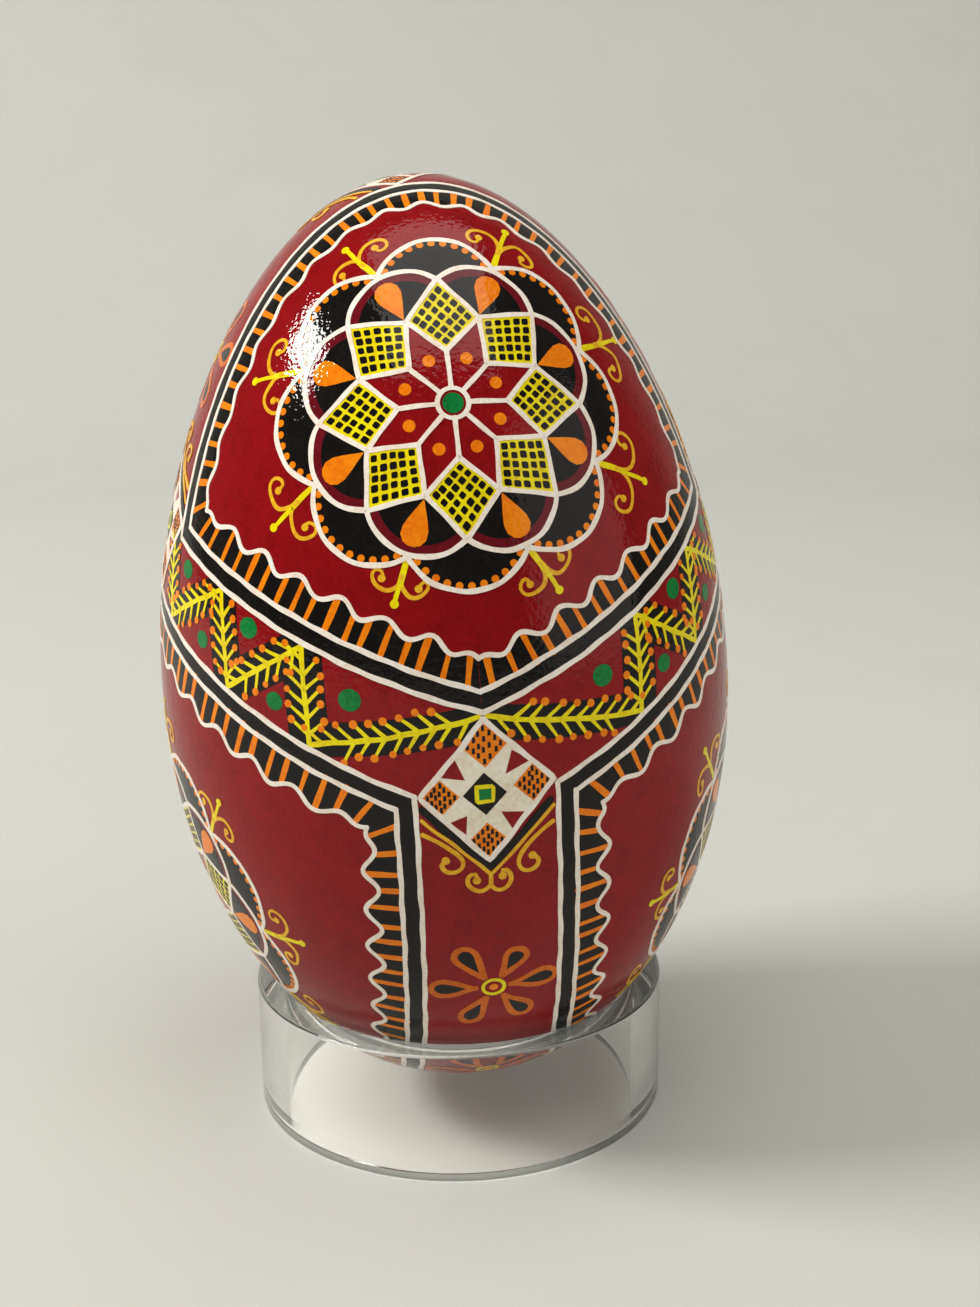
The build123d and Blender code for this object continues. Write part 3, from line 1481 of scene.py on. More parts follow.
@dataclass
class Rosette:
    """The eight-pointed rosette in the middle of each field.

    It is a star of netted kites inside a ring of scallops, inside a ring of dotted
    crescents, with a sprig of two curls in each gap.
    """

    eye: float = 0.83
    eye_ring: float = 1.22
    kite_inner: float = 4.3
    kite_side: float = 7.6
    kite_outer: float = 10.7
    scallop_radius: float = 4.68
    scallop_border: float = 0.9
    scallop_half_turn: float = 61.0
    crescent_centre: float = 9.415
    crescent_radius: float = 5.235
    crescent_half_turn: float = 66.0
    crescent_foot: tuple[float, float, float] = (9.4, 9.6, 9.4)
    crescent_dots: int = 11
    dot_inset: float = 0.42
    dot_margin: float = 8.0
    net_cells: int = 5
    net_margin: float = 0.06
    cell_squareness: float = 0.45
    half_pitch: float = 22.5
    berry_reach: float = 3.85
    sprig_foot: float = 12.5
    line: float = 0.38
    rim_line: float = 0.42
    sprigs: tuple[tuple[float, float], ...] = (
        (0.93, 12.0), (1.09, 13.0), (1.03, 9.0), (0.78, 0.0),
        (0.88, 12.0), (1.17, 11.0), (1.2, 1.0), (1.03, -4.0),
    )  # fmt: skip

    def draw(self, sheet: Sheet, phase: float) -> None:
        """Draw the rosette.

        Args:
            sheet: The sheet, its origin at the rosette's centre.
            phase: The angle of the first kite, in degrees.
        """
        for k in range(8):
            axis = phase + 2 * self.half_pitch * k
            gap = axis + self.half_pitch
            self.crescent(sheet, axis)
            self.scallop(sheet, gap)
            self.kite(sheet, axis)
            self.sprig(sheet, gap, *self.sprigs[k])
            sheet.dot(Dye.ORANGE, polar(self.berry_reach, gap), 0.5, 2)
            spoke = np.array([polar(self.eye_ring, axis), polar(self.kite_inner, axis)])
            sheet.line(Dye.WHITE, spoke, self.line, 5, stray=0.02)
        sheet.plate(Dye.GREEN, arc(np.zeros(2), self.eye, 0, 345, 23), 4)
        ring = arc(np.zeros(2), self.eye_ring, 0, 360, 40)
        sheet.line(Dye.WHITE, ring, 0.36, 5, closed=True)

    def crescent(self, sheet: Sheet, axis: float) -> None:
        """Draw one dotted black crescent on a kite's axis.

        Args:
            sheet: The sheet.
            axis: The axis, in degrees.
        """
        centre = polar(self.crescent_centre, axis)
        half = self.crescent_half_turn
        rim = arc(centre, self.crescent_radius, axis - half, axis + half, 24)
        turns = (self.half_pitch, 0.0, -self.half_pitch)
        foot = np.array([polar(r, axis + turn) for r, turn in zip(self.crescent_foot, turns)])
        sheet.fill(Dye.BLACK, np.vstack([rim, foot]), 1)
        sheet.line(Dye.WHITE, rim, self.rim_line, 5)
        last = half - self.dot_margin
        for turn in np.linspace(-last, last, self.crescent_dots):
            inner = self.crescent_radius - self.dot_inset
            spot = arc(centre, inner, axis + turn, axis + turn, 1)[0]
            sheet.dot(Dye.ORANGE, spot, 0.3, 3)

    def scallop(self, sheet: Sheet, axis: float) -> None:
        """Draw one scallop between two kites, with its drop.

        Args:
            sheet: The sheet.
            axis: The gap between the kites, in degrees.
        """
        centre = polar(self.kite_side, axis)
        first, last = axis - self.scallop_half_turn, axis + self.scallop_half_turn
        rim = arc(centre, self.scallop_radius, first, last, 20)
        sheet.fill(Dye.MAROON, np.vstack([rim, centre]), 2)
        hollow = arc(centre, self.scallop_radius - self.scallop_border, first, last, 16)
        sheet.fill(Dye.BLACK, np.vstack([hollow, centre]), 3)
        sheet.line(Dye.WHITE, rim, self.rim_line, 5)
        half = [(7.85, 0.0), (8.5, 0.3), (9.4, 0.72), (10.2, 1.03), (10.9, 1.05), (11.4, 0.72)]
        half += [(11.62, 0.27)]
        drop = np.array(half + [(r, -w) for r, w in reversed(half[1:])])
        sheet.fill(Dye.ORANGE, turned(drop, axis), 4)

    def kite(self, sheet: Sheet, axis: float) -> None:
        """Draw one netted kite.

        Args:
            sheet: The sheet.
            axis: Its axis, in degrees.
        """
        inner, outer = polar(self.kite_inner, axis), polar(self.kite_outer, axis)
        left, right = (
            polar(self.kite_side, axis + turn) for turn in (self.half_pitch, -self.half_pitch)
        )
        sheet.fill(Dye.YELLOW, np.array([inner, right, outer, left]), 2)

        def across(u: float, v: float) -> Array:
            """Give the point at two shares of the kite's sides.

            Args:
                u: The share of the side from the inner corner to the right one.
                v: The share from there towards the left and outer corners.

            Returns:
                The point.
            """
            low = inner * (1 - u) + right * u
            high = left * (1 - u) + outer * u
            return low * (1 - v) + high * v

        n = self.net_cells
        margin = self.net_margin
        pitch = (1 - 2 * margin) / n
        for i in range(n):
            for j in range(n):
                u0, v0 = margin + pitch * (i + 0.5), margin + pitch * (j + 0.5)
                jig = sheet.random.uniform(-0.012, 0.012, 2)
                size = pitch * sheet.random.uniform(0.33, 0.4)
                shape = [
                    across(
                        u0 + jig[0] + size * np.sign(c) * abs(c) ** self.cell_squareness,
                        v0 + jig[1] + size * np.sign(s) * abs(s) ** self.cell_squareness,
                    )
                    for c, s in (
                        (math.cos(a), math.sin(a)) for a in np.radians(np.arange(0, 360, 45) + 22.5)
                    )
                ]
                sheet.plate(Dye.BLACK, np.array(shape), 3)
        for a, b in ((inner, right), (right, outer), (outer, left), (left, inner)):
            sheet.line(Dye.WHITE, np.array([a, b]), self.line, 5, stray=0.03)

    def sprig(self, sheet: Sheet, axis: float, size: float, lean: float) -> None:
        """Draw one sprig of a stem and two curls.

        Args:
            sheet: The sheet.
            axis: The gap that it grows from, in degrees.
            size: Its share of the usual size.
            lean: How far it leans out of line, in degrees.
        """
        foot = polar(self.sprig_foot, axis)

        def out(points: list[tuple[float, float]]) -> Array:
            """Put points given from the sprig's foot on the sheet."""
            return foot + turned(np.array(points) * size, axis + lean)

        sheet.line(Dye.YELLOW, out([(0.0, 0.0), (2.6, 0.0)]), 0.5, 3, end_width=0.44)
        sheet.line(Dye.YELLOW, out([(2.6, 0.0), (4.7, 0.0)]), 0.38, 3, end_width=0.32)
        sheet.dot(Dye.YELLOW, out([(4.75, 0.0)])[0], 0.35, 3)
        curl = [
            (1.9, 0.0), (2.8, 0.15), (3.6, 1.05), (3.6, 2.0), (3.1, 2.8),
            (2.3, 3.05), (1.85, 2.5), (2.1, 1.85), (2.65, 1.95),
        ]  # fmt: skip
        for side in (1, -1):
            line = smoothed(out([(u, v * side) for u, v in curl]))
            sheet.line(Dye.AMBER, line, 0.36, 3, end_width=0.26, stray=0.12)
            sheet.dot(Dye.AMBER, line[-1], 0.31, 3)


@dataclass
class PineBand:
    """A zigzag pine branch along a band, on black, with a berry at each needle."""

    corners: tuple[tuple[float, float], ...] = (
        (1.7, 3.7), (13.6, -3.7), (17.2, 3.8), (22.5, -3.7), (26.6, 3.8), (33.1, -3.7), (36.6, 3.6),
    )  # fmt: skip
    balls: tuple[tuple[float, float, float], ...] = (
        (11.8, 1.5, 0.95), (22.4, 2.5, 0.95), (32.0, 2.4, 0.9),
        (17.7, -1.95, 0.8), (27.0, -1.9, 0.8),
    )  # fmt: skip
    shadow: float = 1.9
    stem: float = 0.42
    shadow_edge: float = 4.3
    needle: float = 1.95
    needle_edge: float = 3.75
    spacing: float = 1.32
    lean: float = 48.0

    def draw(self, sheet: Sheet) -> None:
        """Draw the branch.

        Args:
            sheet: The sheet, along the band from its low end, up towards the field
                that the long first branch starts from.
        """
        for a, b in zip(self.corners, self.corners[1:]):
            self.branch(sheet, np.array(a), np.array(b))
        for s, w, r in self.balls:
            sheet.plate(Dye.GREEN, arc(np.array([s, w]), r, 0, 342, 19), 2)

    def branch(self, sheet: Sheet, start: Array, end: Array) -> None:
        """Draw one straight branch with its needles.

        Args:
            sheet: The sheet.
            start: Where it starts.
            end: Where it ends.
        """
        way = end - start
        length = float(np.linalg.norm(way))
        way /= length
        side = np.array([-way[1], way[0]])
        facing = math.degrees(math.atan2(way[1], way[0]))
        cap = arc(end, self.shadow, facing - 90, facing + 90, 8)
        back = arc(start, self.shadow, facing + 90, facing + 270, 8)
        pad = np.vstack([cap, back])
        pad[:, 1] = np.clip(pad[:, 1], -self.shadow_edge, self.shadow_edge)
        sheet.fill(Dye.BLACK, pad, 1)
        sheet.line(Dye.YELLOW, np.array([start, end]), self.stem, 3)
        count = max(2, int(length / self.spacing))
        for k in range(1, count + 1):
            foot = start + way * (length * (k - 0.35) / (count + 0.6))
            for turn in (1, -1):
                swing = math.radians(self.lean + sheet.random.uniform(-5, 5))
                reach = self.needle * sheet.random.uniform(0.9, 1.08)
                tip = foot + reach * (way * math.cos(swing) + side * turn * math.sin(swing))
                if abs(tip[1]) > self.needle_edge:
                    continue
                sheet.line(Dye.YELLOW, np.array([foot, tip]), 0.33, 3, end_width=0.24, stray=0.03)
                sheet.dot(Dye.ORANGE, tip, sheet.random.uniform(0.27, 0.35), 4)


@dataclass
class StarDiamond:
    """The star in a diamond that sits where three bands meet."""

    origin: tuple[float, float] = (0.1, 2.0)

    def draw(self, sheet: Sheet) -> None:
        """Draw the diamond and the chevron and curls under it.

        Args:
            sheet: The sheet, its origin where the bands' centre lines meet.
        """

        def put(points: list[tuple[float, float]]) -> Array:
            """Move points to the sheet's origin."""
            return np.array(points) - self.origin

        corners = [(0.1, 5.8), (5.5, 0.3), (0.0, -6.0), (-5.2, -0.3)]
        sheet.fill(Dye.CREAM, put(corners), 2)
        sheet.line(Dye.WHITE, put(corners + corners[:1]), 0.45, 6)
        squares = ((0.05, 3.75, 1.85), (-3.6, -0.35, 1.5), (3.8, 0.2, 1.6), (-0.05, -4.25, 1.55))
        for x, y, half in squares:
            self.hatched(sheet, put([(x, y)])[0], half)
        triangles = (
            ((-2.4, 3.0), (-3.8, 1.4), (-1.6, 1.0)),
            ((2.2, 3.1), (3.7, 2.1), (1.6, 1.2)),
            ((-3.0, -2.5), (-1.6, -2.0), (-1.75, -3.6)),
            ((1.1, -1.9), (3.3, -2.2), (2.0, -3.6)),
        )
        for triangle in triangles:
            sheet.fill(Dye.RED, put(list(triangle)), 3)
        sheet.fill(Dye.BLACK, put([(-0.1, 1.5), (1.65, -0.3), (-0.1, -2.05), (-1.85, -0.3)]), 3)
        square = [(-0.75, 0.35), (0.55, 0.35), (0.55, -0.95), (-0.75, -0.95)]
        sheet.fill(Dye.GREEN, put(square), 4)
        sheet.line(Dye.YELLOW, put(square + square[:1]), 0.32, 5)
        self.chevron(sheet, put)

    def hatched(self, sheet: Sheet, centre: Array, half: float) -> None:
        """Draw one orange square on its corner, with rows of dark dashes.

        Args:
            sheet: The sheet.
            centre: Its centre.
            half: Half its diagonal, in mm.
        """
        corners = [centre + (0, half), centre + (half, 0), centre + (0, -half), centre + (-half, 0)]
        sheet.fill(Dye.ORANGE, np.array(corners), 3)
        edge, rows = half * math.sqrt(2), 4
        for i in range(rows):
            for j in range(rows):
                share = (np.array([i, j]) + 0.5) / rows - 0.5 + sheet.random.uniform(-0.03, 0.03, 2)
                middle = centre + turned(share[None] * edge * 0.94, 45)[0]
                dash = np.array([(-0.13, -0.24), (0.13, -0.2), (0.11, 0.22), (-0.11, 0.25)])
                sheet.plate(Dye.BLACK, middle + dash, 4)

    def chevron(self, sheet: Sheet, put: Callable[[list], Array]) -> None:
        """Draw the dark chevron, its yellow edge and the curls under it.

        Args:
            sheet: The sheet.
            put: Moves points to the sheet's origin.
        """
        dark = [(-5.1, -1.3), (0.0, -6.75), (5.2, -1.5)]
        sheet.line(Dye.BLACK, put(dark), 0.62, 4)
        edge = [(-5.2, -2.2), (-2.0, -5.2), (0.1, -7.3), (2.2, -5.2), (5.4, -2.0)]
        sheet.line(Dye.AMBER, put(edge), 0.3, 5)
        sheet.line(Dye.AMBER, put([(0, -7.3), (0, -8.4)]), 0.34, 5)
        curls = (
            (
                (0, -8.3), (-0.5, -8.8), (-1.2, -8.8), (-1.9, -8.1),
                (-1.8, -7.3), (-1.1, -7.15), (-1.1, -7.8),
            ),
            (
                (0, -8.3), (0.5, -8.9), (1.3, -8.8), (1.8, -8.0),
                (1.5, -7.15), (0.9, -6.95), (1.0, -7.6),
            ),
            (
                (-5.2, -3.4), (-4.4, -3.9), (-3.4, -4.5), (-2.4, -5.4), (-2.0, -6.2),
                (-2.5, -6.9), (-3.5, -6.9), (-4.0, -6.2), (-3.5, -5.8),
            ),
            (
                (5.3, -3.4), (4.4, -3.9), (3.3, -4.9), (2.4, -6.0), (2.3, -6.9),
                (2.9, -7.5), (3.8, -7.3), (4.1, -6.5), (3.5, -6.1),
            ),
        )  # fmt: skip
        for curl in curls:
            line = smoothed(put(list(curl)))
            sheet.line(Dye.AMBER, line, 0.36, 5, stray=0.04)
            sheet.dot(Dye.AMBER, line[-1], 0.34, 5)


@dataclass
class SixPetalFlower:
    """A small outlined flower with six petals round a ringed eye."""

    petals: tuple[tuple[float, float], ...] = (
        (3, 5.35), (60, 4.7), (122, 5.4), (180, 5.25), (-117, 5.1), (-55, 5.2),
    )  # fmt: skip
    near: float = 1.5
    width: float = 1.85
    line: float = 0.54

    def draw(self, sheet: Sheet) -> None:
        """Draw the flower at the sheet's origin.

        Args:
            sheet: The sheet.
        """
        half = [(0.0, 0.0), (0.2, 0.3), (0.45, 0.72), (0.68, 1.0), (0.86, 0.88), (0.97, 0.45)]
        rows = half + [(1.0, 0.0)] + [(u, -v) for u, v in reversed(half[1:])]
        for angle, far in self.petals:
            spread = np.array(rows) * (far - self.near, self.width / 2) + (self.near, 0)
            outline = turned(spread, angle)
            ring = np.vstack([outline, outline[:1]])
            sheet.fill(Dye.BLACK, outline, 1)
            sheet.line(Dye.RUST, smoothed(ring, 2), self.line, 2)
        sheet.line(Dye.YELLOW, arc(np.zeros(2), 0.9, 0, 360, 30), 0.32, 3, closed=True)
        sheet.dot(Dye.ORANGE, np.zeros(2), 0.38, 3)


@dataclass
class Side:
    """One side of a field: the stretch of a band's edge between two corners."""

    band: Band
    sign: int
    starts: dict[float, float] = field(default_factory=dict)
    ends: dict[float, float] = field(default_factory=dict)

    def flat(self, share: Array, depth: Array) -> Array:
        """Give the flat points at shares of the side and depths into the field.

        Args:
            share: From nought at one corner to one at the other.
            depth: Distance from the band's inner edge line, in mm.

        Returns:
            Rows of distance along and distance to the left of the band.
        """
        share, depth = np.broadcast_arrays(np.asarray(share, float), np.asarray(depth, float))
        keys = sorted(self.starts)
        first = np.interp(depth, keys, [self.starts[k] for k in keys])
        last = np.interp(depth, keys, [self.ends[k] for k in keys])
        s = first + (last - first) * share
        return np.column_stack([s, self.sign * (self.band.edge(s) + depth)])

    def square(self, share: Array, depth: Array, middle: float, fan: float) -> Array:
        """Give flat points that stand square to the band, but fan out at its corners.

        Args:
            share: From nought at one corner to one at the other.
            depth: Distance from the band's inner edge line, in mm.
            middle: The depth at which equal shares are equal lengths, in mm.
            fan: How far from a corner the fanning reaches, in mm.

        Returns:
            Rows of distance along and distance to the left of the band.
        """
        share = np.asarray(share, float)
        mitred, level = self.flat(share, depth)[:, 0], self.flat(share, middle)[:, 0]
        ends = self.flat([0.0, 1.0], middle)[:, 0]
        reach = np.minimum(share, 1 - share) * abs(float(ends[1] - ends[0]))
        s = level + (mitred - level) * np.exp(-reach / fan)
        return np.column_stack([s, self.sign * (self.band.edge(s) + np.asarray(depth))])


@dataclass
class FieldBorder:
    """The border inside each field: double line, ladder and wavy line."""

    line: float = 0.42
    outer_line: float = 1.55
    wave_middle: float = 4.2
    wave_height: float = 0.5
    wave_length: float = 4.1
    corner_depth: float = 4.0
    rung: float = 0.5
    rung_spacing: float = 1.72
    rung_gap: float = 0.1
    fan: float = 1.6
    wave_line: float = 0.38
    wave_steps: int = 14
    calm_reach: float = 1.2

    def cut(self, sides: list[Side], corners: list[Array]) -> None:
        """Find where neighbouring sides meet, at several depths.

        Args:
            sides: The field's sides.
            corners: For each side, the vertex that it starts at and the one it ends at.
        """
        for depth in (0.0, 2.0, 5.0):
            for side, (start, end) in zip(sides, corners):
                for vertex, store in ((start, side.starts), (end, side.ends)):
                    other = next(
                        o for o, (a, b) in zip(sides, corners)
                        if o is not side and (np.allclose(a, vertex) or np.allclose(b, vertex))
                    )
                    store[depth] = meeting(side, other, vertex, depth)

    def draw(self, side: Side, sheet: Sheet) -> None:
        """Draw the border along one side.

        Args:
            side: The side.
            sheet: The sheet of its band.
        """
        reach = side.flat([0.0, 1.0], self.wave_middle)
        length = abs(float(reach[1, 0] - reach[0, 0]))
        waves = max(3, round(length / self.wave_length))
        share = np.linspace(0, 1, waves * self.wave_steps + 1)
        lift = sheet.random.uniform(0.88, 1.12, waves + 1)
        height = self.wave_height * np.interp(share * waves, np.arange(waves + 1), lift)
        wave = self.wave_middle + height * np.cos(share * waves * 2 * math.pi)
        near = np.exp(-np.minimum(share, 1 - share) * length / self.calm_reach)
        wave = wave * (1 - near) + self.corner_depth * near
        zero = np.zeros_like(share)
        rim = side.square(share, wave, self.wave_middle, self.fan)
        sheet.strip(Dye.BLACK, side.flat(share, zero), rim, 1)
        rungs = max(4, round(length / self.rung_spacing))
        for k in range(rungs):
            at = (k + 0.5 + sheet.random.uniform(-0.12, 0.12)) / rungs
            end = float(np.interp(at, share, wave)) - self.rung_gap
            rung = side.square([at, at], [self.outer_line, end], self.wave_middle, self.fan)
            width = self.rung * sheet.random.uniform(0.82, 1.12)
            sheet.line(Dye.ORANGE, rung, width, 2, stray=0.02)
        sheet.line(Dye.WHITE, side.flat(share, zero), self.line, 5)
        sheet.line(Dye.WHITE, side.flat(share, zero + self.outer_line), self.line, 5)
        sheet.line(Dye.WHITE, rim, self.wave_line, 5)


def meeting(side: Side, other: Side, vertex: Array, depth: float) -> float:
    """Find how far along its band a side meets its neighbour.

    Args:
        side: The side.
        other: Its neighbour at that corner.
        vertex: Where their bands' centre lines meet.
        depth: Distance of both lines from their bands' inner edge lines, in mm.

    Returns:
        The distance along the side's band, in mm.
    """
    _, normal = EGG.nearest(vertex[None])
    # Any direction does that no corner's normal lies along.
    across = unit(np.cross(normal[0], [0.31, 0.62, 0.72]))
    up = np.cross(normal[0], across)

    def traced(one: Side) -> tuple[Array, Array]:
        """Give a side's distances along and its line seen from over the vertex.

        Args:
            one: The side.

        Returns:
            The distances and the flat points.
        """
        at_start = np.linalg.norm(one.band.points[0] - vertex) < 1.0
        reach = np.arange(*MEETING_SEARCH)
        s = reach if at_start else one.band.length - reach
        w = one.sign * (one.band.edge(s) + depth)
        points, _ = one.band.place(np.column_stack([s, w]))
        arm = points - vertex
        return s, np.column_stack([arm @ across, arm @ up])

    s, line = traced(side)
    _, cross = traced(other)
    best = (1e9, 0.0)
    a, b = line[:-1], line[1:]
    c, d = cross[:-1], cross[1:]
    for i in range(len(a)):
        way, ways = b[i] - a[i], d - c
        gap = c - a[i]
        turn = way[0] * ways[:, 1] - way[1] * ways[:, 0]
        turn = np.where(np.abs(turn) < 1e-9, 1e-9, turn)
        t = (gap[:, 0] * ways[:, 1] - gap[:, 1] * ways[:, 0]) / turn
        u = (gap[:, 0] * way[1] - gap[:, 1] * way[0]) / turn
        hit = (t >= 0) & (t <= 1) & (u >= 0) & (u <= 1)
        for k in np.flatnonzero(hit):
            far = float(np.linalg.norm(a[i]))
            if far < best[0]:
                best = (far, float(s[i] + (s[i + 1] - s[i]) * t[k]))
    return best[1]


@dataclass
class Decoration:
    """All that is written on the shell: six bands, four fields and four diamonds.

    Two broad flower bands run over the pointed end and under the blunt end, square to
    each other, and four pine bands join them round the middle.
    """

    heading: float = 6.9
    low_height: float = -4.1
    high_height: float = 11.0
    left_longitude: float = -77.5
    right_longitude: float = 91.0
    pine_sag: float = 0.75
    pine_half_width: float = 4.1
    pine_end_width: float = 3.3
    flower_half_width: float = 5.7
    flower_reach: float = 21.3
    far_flower_reach: float = 36.4
    crown_reach: float = 17.2
    upper_centre: float = 23.4
    left_centre: tuple[float, float] = (-19.8, -79.4)
    right_centre: tuple[float, float] = (-20.2, 88.3)
    films: dict[str, Film] = field(default_factory=dict)

    def write(
        self,
        family: str,
        chart: RoundChart | Band | MirroredBand,
        seed: int,
        motif: Callable[[Sheet], None],
    ) -> None:
        """Draw a motif on a sheet of its own and wrap it onto the egg.

        Args:
            family: The name that its films share.
            chart: How the sheet is wrapped onto the egg.
            seed: Fixes how the hand strays on this sheet.
            motif: What draws it.
        """
        sheet = Sheet(chart, seed)
        motif(sheet)
        sheet.wrap(family, self.films)

    def draw(self) -> None:
        """Draw every motif."""
        front = EGG.at(self.low_height, self.heading)
        back = EGG.at(self.low_height, self.heading + 180)
        left = EGG.at(self.high_height, self.left_longitude)
        right = EGG.at(self.high_height, self.right_longitude)
        top = EGG.at(EGG.length / 2 - 0.05, self.heading + 180)
        bottom = EGG.at(-EGG.length / 2, 0.0)
        broad = self.flower_half_width
        upper = Band(left, top, right, broad, broad)
        lower = Band(front, bottom, back, broad, broad)
        pines = {}
        for name, low in (("front", front), ("back", back)):
            for side, high in (("left", left), ("right", right)):
                halfway = (low + high) / 2 - (0.0, 0.0, self.pine_sag)
                over, _ = EGG.nearest(halfway[None])
                pines[name, side] = Band(
                    low, over[0], high, self.pine_half_width, self.pine_end_width
                )
        centres = {
            "front": EGG.at(self.upper_centre, self.heading),
            "back": EGG.at(self.upper_centre, self.heading + 180),
            "left": EGG.at(*self.left_centre),
            "right": EGG.at(*self.right_centre),
        }
        phases = {"front": 90.0, "back": 90.0, "left": 12.8, "right": 162.0}
        lows, highs = {"front": front, "back": back}, {"left": left, "right": right}
        fields = {}
        for name, low in lows.items():
            arms = [(pines[name, side], low, high) for side, high in highs.items()]
            fields[name] = (arms[0], (upper, left, right), arms[1])
        for name, high in highs.items():
            arms = [(pines[side, name], low, high) for side, low in lows.items()]
            fields[name] = (*arms, (lower, front, back))
        borders = {
            upper: FieldBorder(wave_length=4.4, wave_height=0.28, wave_middle=3.7),
            lower: FieldBorder(wave_length=3.95, wave_height=0.62, wave_middle=4.0),
            pines["front", "right"]: FieldBorder(wave_middle=3.75),
            pines["back", "left"]: FieldBorder(wave_middle=3.75),
        }
        north = np.array([0.0, 0.0, 1.0])
        for seed, (name, centre) in enumerate(centres.items()):
            chart = RoundChart(centre, north)
            star = partial(Rosette().draw, phase=phases[name])
            self.write("rosettes", chart, ROSETTE_SEED + seed, star)
            sides = [Side(band, band.side_of(centre)) for band, _, _ in fields[name]]
            FieldBorder().cut(sides, [(a, b) for _, a, b in fields[name]])
            for number, side in enumerate(sides):
                border = partial(borders.get(side.band, FieldBorder()).draw, side)
                turn = BORDER_SEED + SEEDS_APART * seed + number
                self.write("borders", side.band, turn, border)
        for seed, ((name, _), band) in enumerate(pines.items()):
            chart = MirroredBand(band, band.side_of(centres[name]))
            self.write("pine_bands", chart, PINE_SEED + seed, PineBand().draw)
        for seed, (band, vertex, backwards) in enumerate(
            (
                (lower, front, False),
                (lower, back, True),
                (upper, left, False),
                (upper, right, True),
                (upper, top, True),
            )
        ):
            s = float(band.along[np.argmin(np.linalg.norm(band.points - vertex, axis=1))])
            onward = band.heading(s) * (-1 if backwards else 1)
            chart = RoundChart(vertex, -onward)
            self.write("star_diamonds", chart, DIAMOND_SEED + seed, StarDiamond().draw)
        near, far = self.flower_reach, self.far_flower_reach
        for seed, (band, spots) in enumerate(
            (
                (lower, (near, far, -far, -near)),
                (upper, (self.crown_reach, -self.crown_reach)),
            )
        ):
            for number, reach in enumerate(spots):
                s = reach if reach > 0 else band.length + reach
                ahead = band.heading(s) * (-1 if reach > 0 else 1)
                turn = FLOWER_SEED + SEEDS_APART * seed + number
                self.write("flowers", RoundChart(band.spot(s), ahead), turn, SixPetalFlower().draw)

    def build(self, tree: bpy.types.NodeTree, finishes: dict[Dye, bpy.types.Material]) -> None:
        """Make one piece of each film.

        Args:
            tree: The tree that gives lines and dots their bodies.
            finishes: The material of each dye.
        """
        for name, film in self.films.items():
            source = bpy.data.meshes.new(name)
            points = np.vstack(film.points)
            source.from_pydata(points.tolist(), film.edges, film.faces)
            for label, kind, prop, values in (
                ("kind", "INT", "value", np.concatenate(film.kinds).astype(np.int32)),
                ("reach", "FLOAT", "value", np.concatenate(film.reaches)),
                ("out", "FLOAT_VECTOR", "vector", np.vstack(film.normals).ravel()),
            ):
                source.attributes.new(label, kind, "POINT").data.foreach_set(prop, values)
            mesh = baked(source, tree, {"Material": finishes[film.dye]}, name)
            polish_on_egg(mesh)
            mesh.transform(EGG.settle())
            place_piece(mesh, name, EGG_BODY)


# ----------------------------------------------------------------- the studio


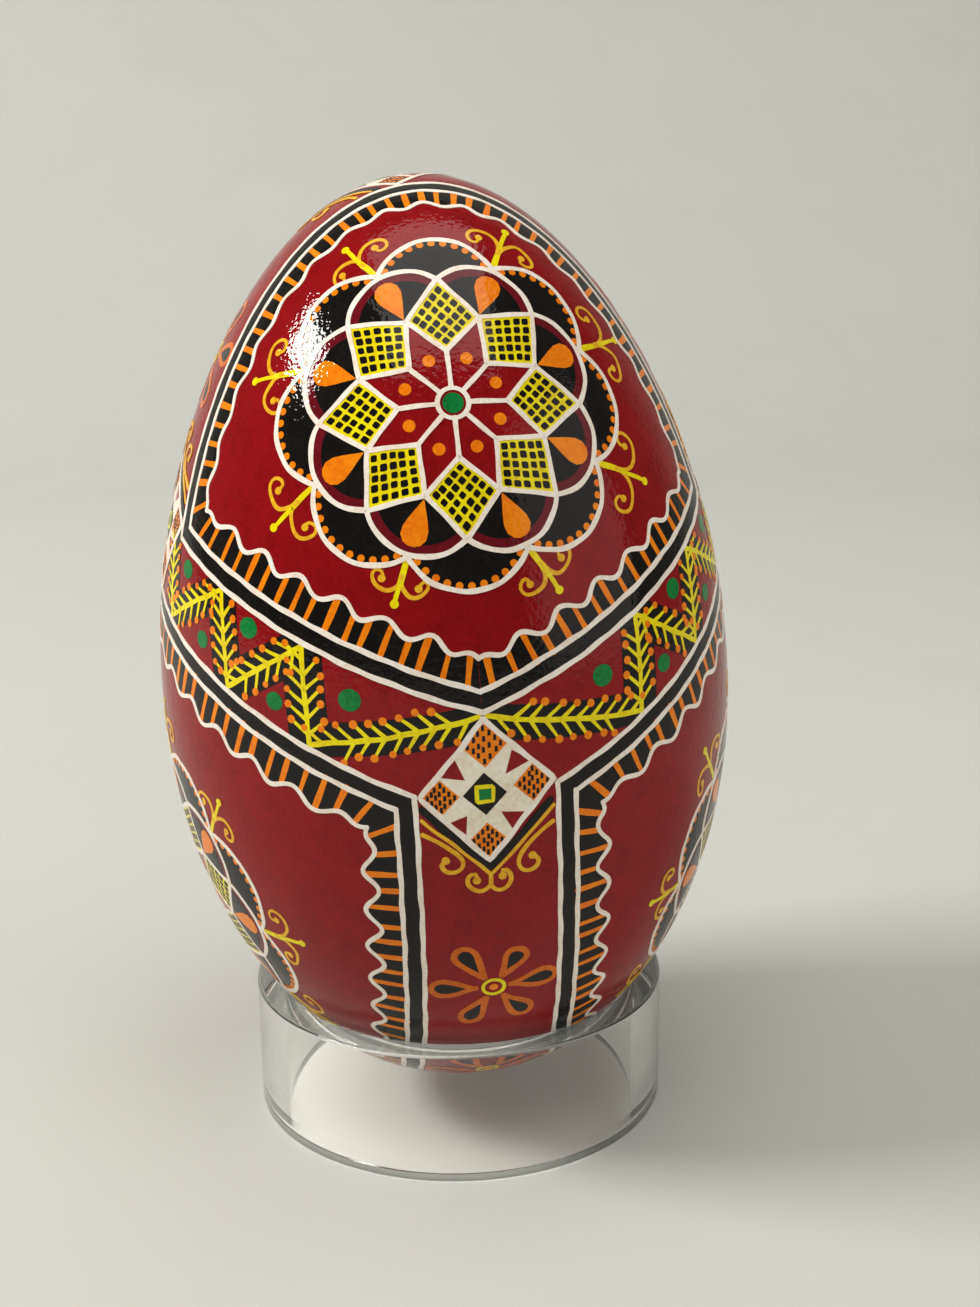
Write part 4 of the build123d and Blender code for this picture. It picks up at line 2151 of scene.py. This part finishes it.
@dataclass
class Studio:
    """The floor, the lights and the camera."""

    eye: tuple[float, float, float] = (0.0, -0.1579, 0.0844)
    pan: float = 0.0209
    tilt: float = 0.2603
    roll: float = -0.0119
    lens: float = 49.58
    floor_reach: float = 1.6
    bend_start: float = 0.35
    bend_radius: float = 0.25
    wall_height: float = 1.6

    def set_camera(self) -> None:
        """Set the camera up in front, looking a little down."""
        data = bpy.data.cameras.new("camera")
        data.sensor_fit = "VERTICAL"
        data.sensor_height = 36.0
        data.lens = self.lens
        data.clip_start = 0.005
        ahead = Vector(
            (
                math.sin(self.pan) * math.cos(self.tilt),
                math.cos(self.pan) * math.cos(self.tilt),
                -math.sin(self.tilt),
            )
        )
        right = ahead.cross(Vector((0, 0, 1))).normalized()
        up = right.cross(ahead)
        across = right * math.cos(self.roll) + up * math.sin(self.roll)
        over = up * math.cos(self.roll) - right * math.sin(self.roll)
        turn = Matrix((across, over, -ahead)).transposed().to_4x4()
        camera = bpy.data.objects.new("camera", data)
        camera.matrix_world = Matrix.Translation(self.eye) @ turn
        bpy.context.scene.collection.objects.link(camera)
        bpy.context.scene.camera = camera

    def lay_floor(self, material: bpy.types.Material) -> None:
        """Lay a wide pale sweep that rises behind.

        Args:
            material: Its finish.
        """
        reach, start, bend = self.floor_reach, self.bend_start, self.bend_radius
        profile = [(-reach, 0.0), (start, 0.0)]
        profile += [
            (start + bend * math.sin(a), bend - bend * math.cos(a))
            for a in np.radians(np.arange(5, 91, 5))
        ]
        profile += [(start + bend, self.wall_height)]
        verts = [(x, y, z) for y, z in profile for x in (-reach, reach)]
        faces = [(2 * i, 2 * i + 1, 2 * i + 3, 2 * i + 2) for i in range(len(profile) - 1)]
        mesh = bpy.data.meshes.new("studio_sweep")
        mesh.from_pydata(verts, [], faces)
        mesh.materials.append(material)
        mesh.shade_smooth()
        sweep = bpy.data.objects.new("studio_sweep", mesh)
        bpy.context.scene.collection.objects.link(sweep)

    def light(self) -> None:
        """Hang a window-like key, a broad fill and a soft surround."""
        for name, place, width, height, power, colour in (
            ("window", (-0.66, -0.07, 0.6), 0.3, 0.155, 6.0, "FFFDF8"),
            ("overhead", (0.05, -0.25, 1.15), 1.0, 1.0, 7.5, "FFFEFA"),
            ("wall_fill", (0.8, -0.45, 0.3), 0.8, 0.8, 1.6, "FFFAF4"),
        ):
            data = bpy.data.lights.new(name, "AREA")
            data.shape = "RECTANGLE"
            data.size, data.size_y = width, height
            data.energy = power
            data.color = linear(colour)[:3]
            lamp = bpy.data.objects.new(name, data)
            aim = Vector((0, 0, 0.045)) - Vector(place)
            lamp.matrix_world = (
                Matrix.Translation(place) @ aim.to_track_quat("-Z", "Y").to_matrix().to_4x4()
            )
            bpy.context.scene.collection.objects.link(lamp)
        world = bpy.data.worlds.new("soft_surround")
        world.use_nodes = True
        tree = world.node_tree
        tree.nodes.clear()
        # The room behind is as pale as the sweep, but it lights the egg more softly.
        path = add_node(tree, "ShaderNodeLightPath")
        limits = {"Value": path.outputs["Is Camera Ray"], "To Min": 0.3, "To Max": 0.85}
        strength = add_node(tree, "ShaderNodeMapRange", limits).outputs["Result"]
        shade = {"Color": linear("DCDCD6"), "Strength": strength}
        glow = add_node(tree, "ShaderNodeBackground", shade)
        add_node(tree, "ShaderNodeOutputWorld", {"Surface": glow.outputs[0]})
        bpy.context.scene.world = world
        bpy.context.scene.view_settings.view_transform = "Standard"


def main() -> None:
    """Build the egg, its ring and its decoration, and light them."""
    logging.basicConfig(level=logging.INFO, format="%(name)s %(message)s")
    studio = Studio()
    studio.set_camera()
    studio.light()
    studio.lay_floor(MattPaper().make())
    lathe = turning_tree()
    finishes = {dye: VarnishedDye(dye).make() for dye in Dye}
    RingStand().build(lathe, ClearAcrylic().make())
    BlownShell().build(lathe, finishes[Dye.RED])
    WaxSeal().build(lathe, DabbedBeeswax().make())
    decoration = Decoration()
    decoration.draw()
    decoration.build(wax_marks_tree(), finishes)
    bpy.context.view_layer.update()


if __name__ == "__main__":
    main()
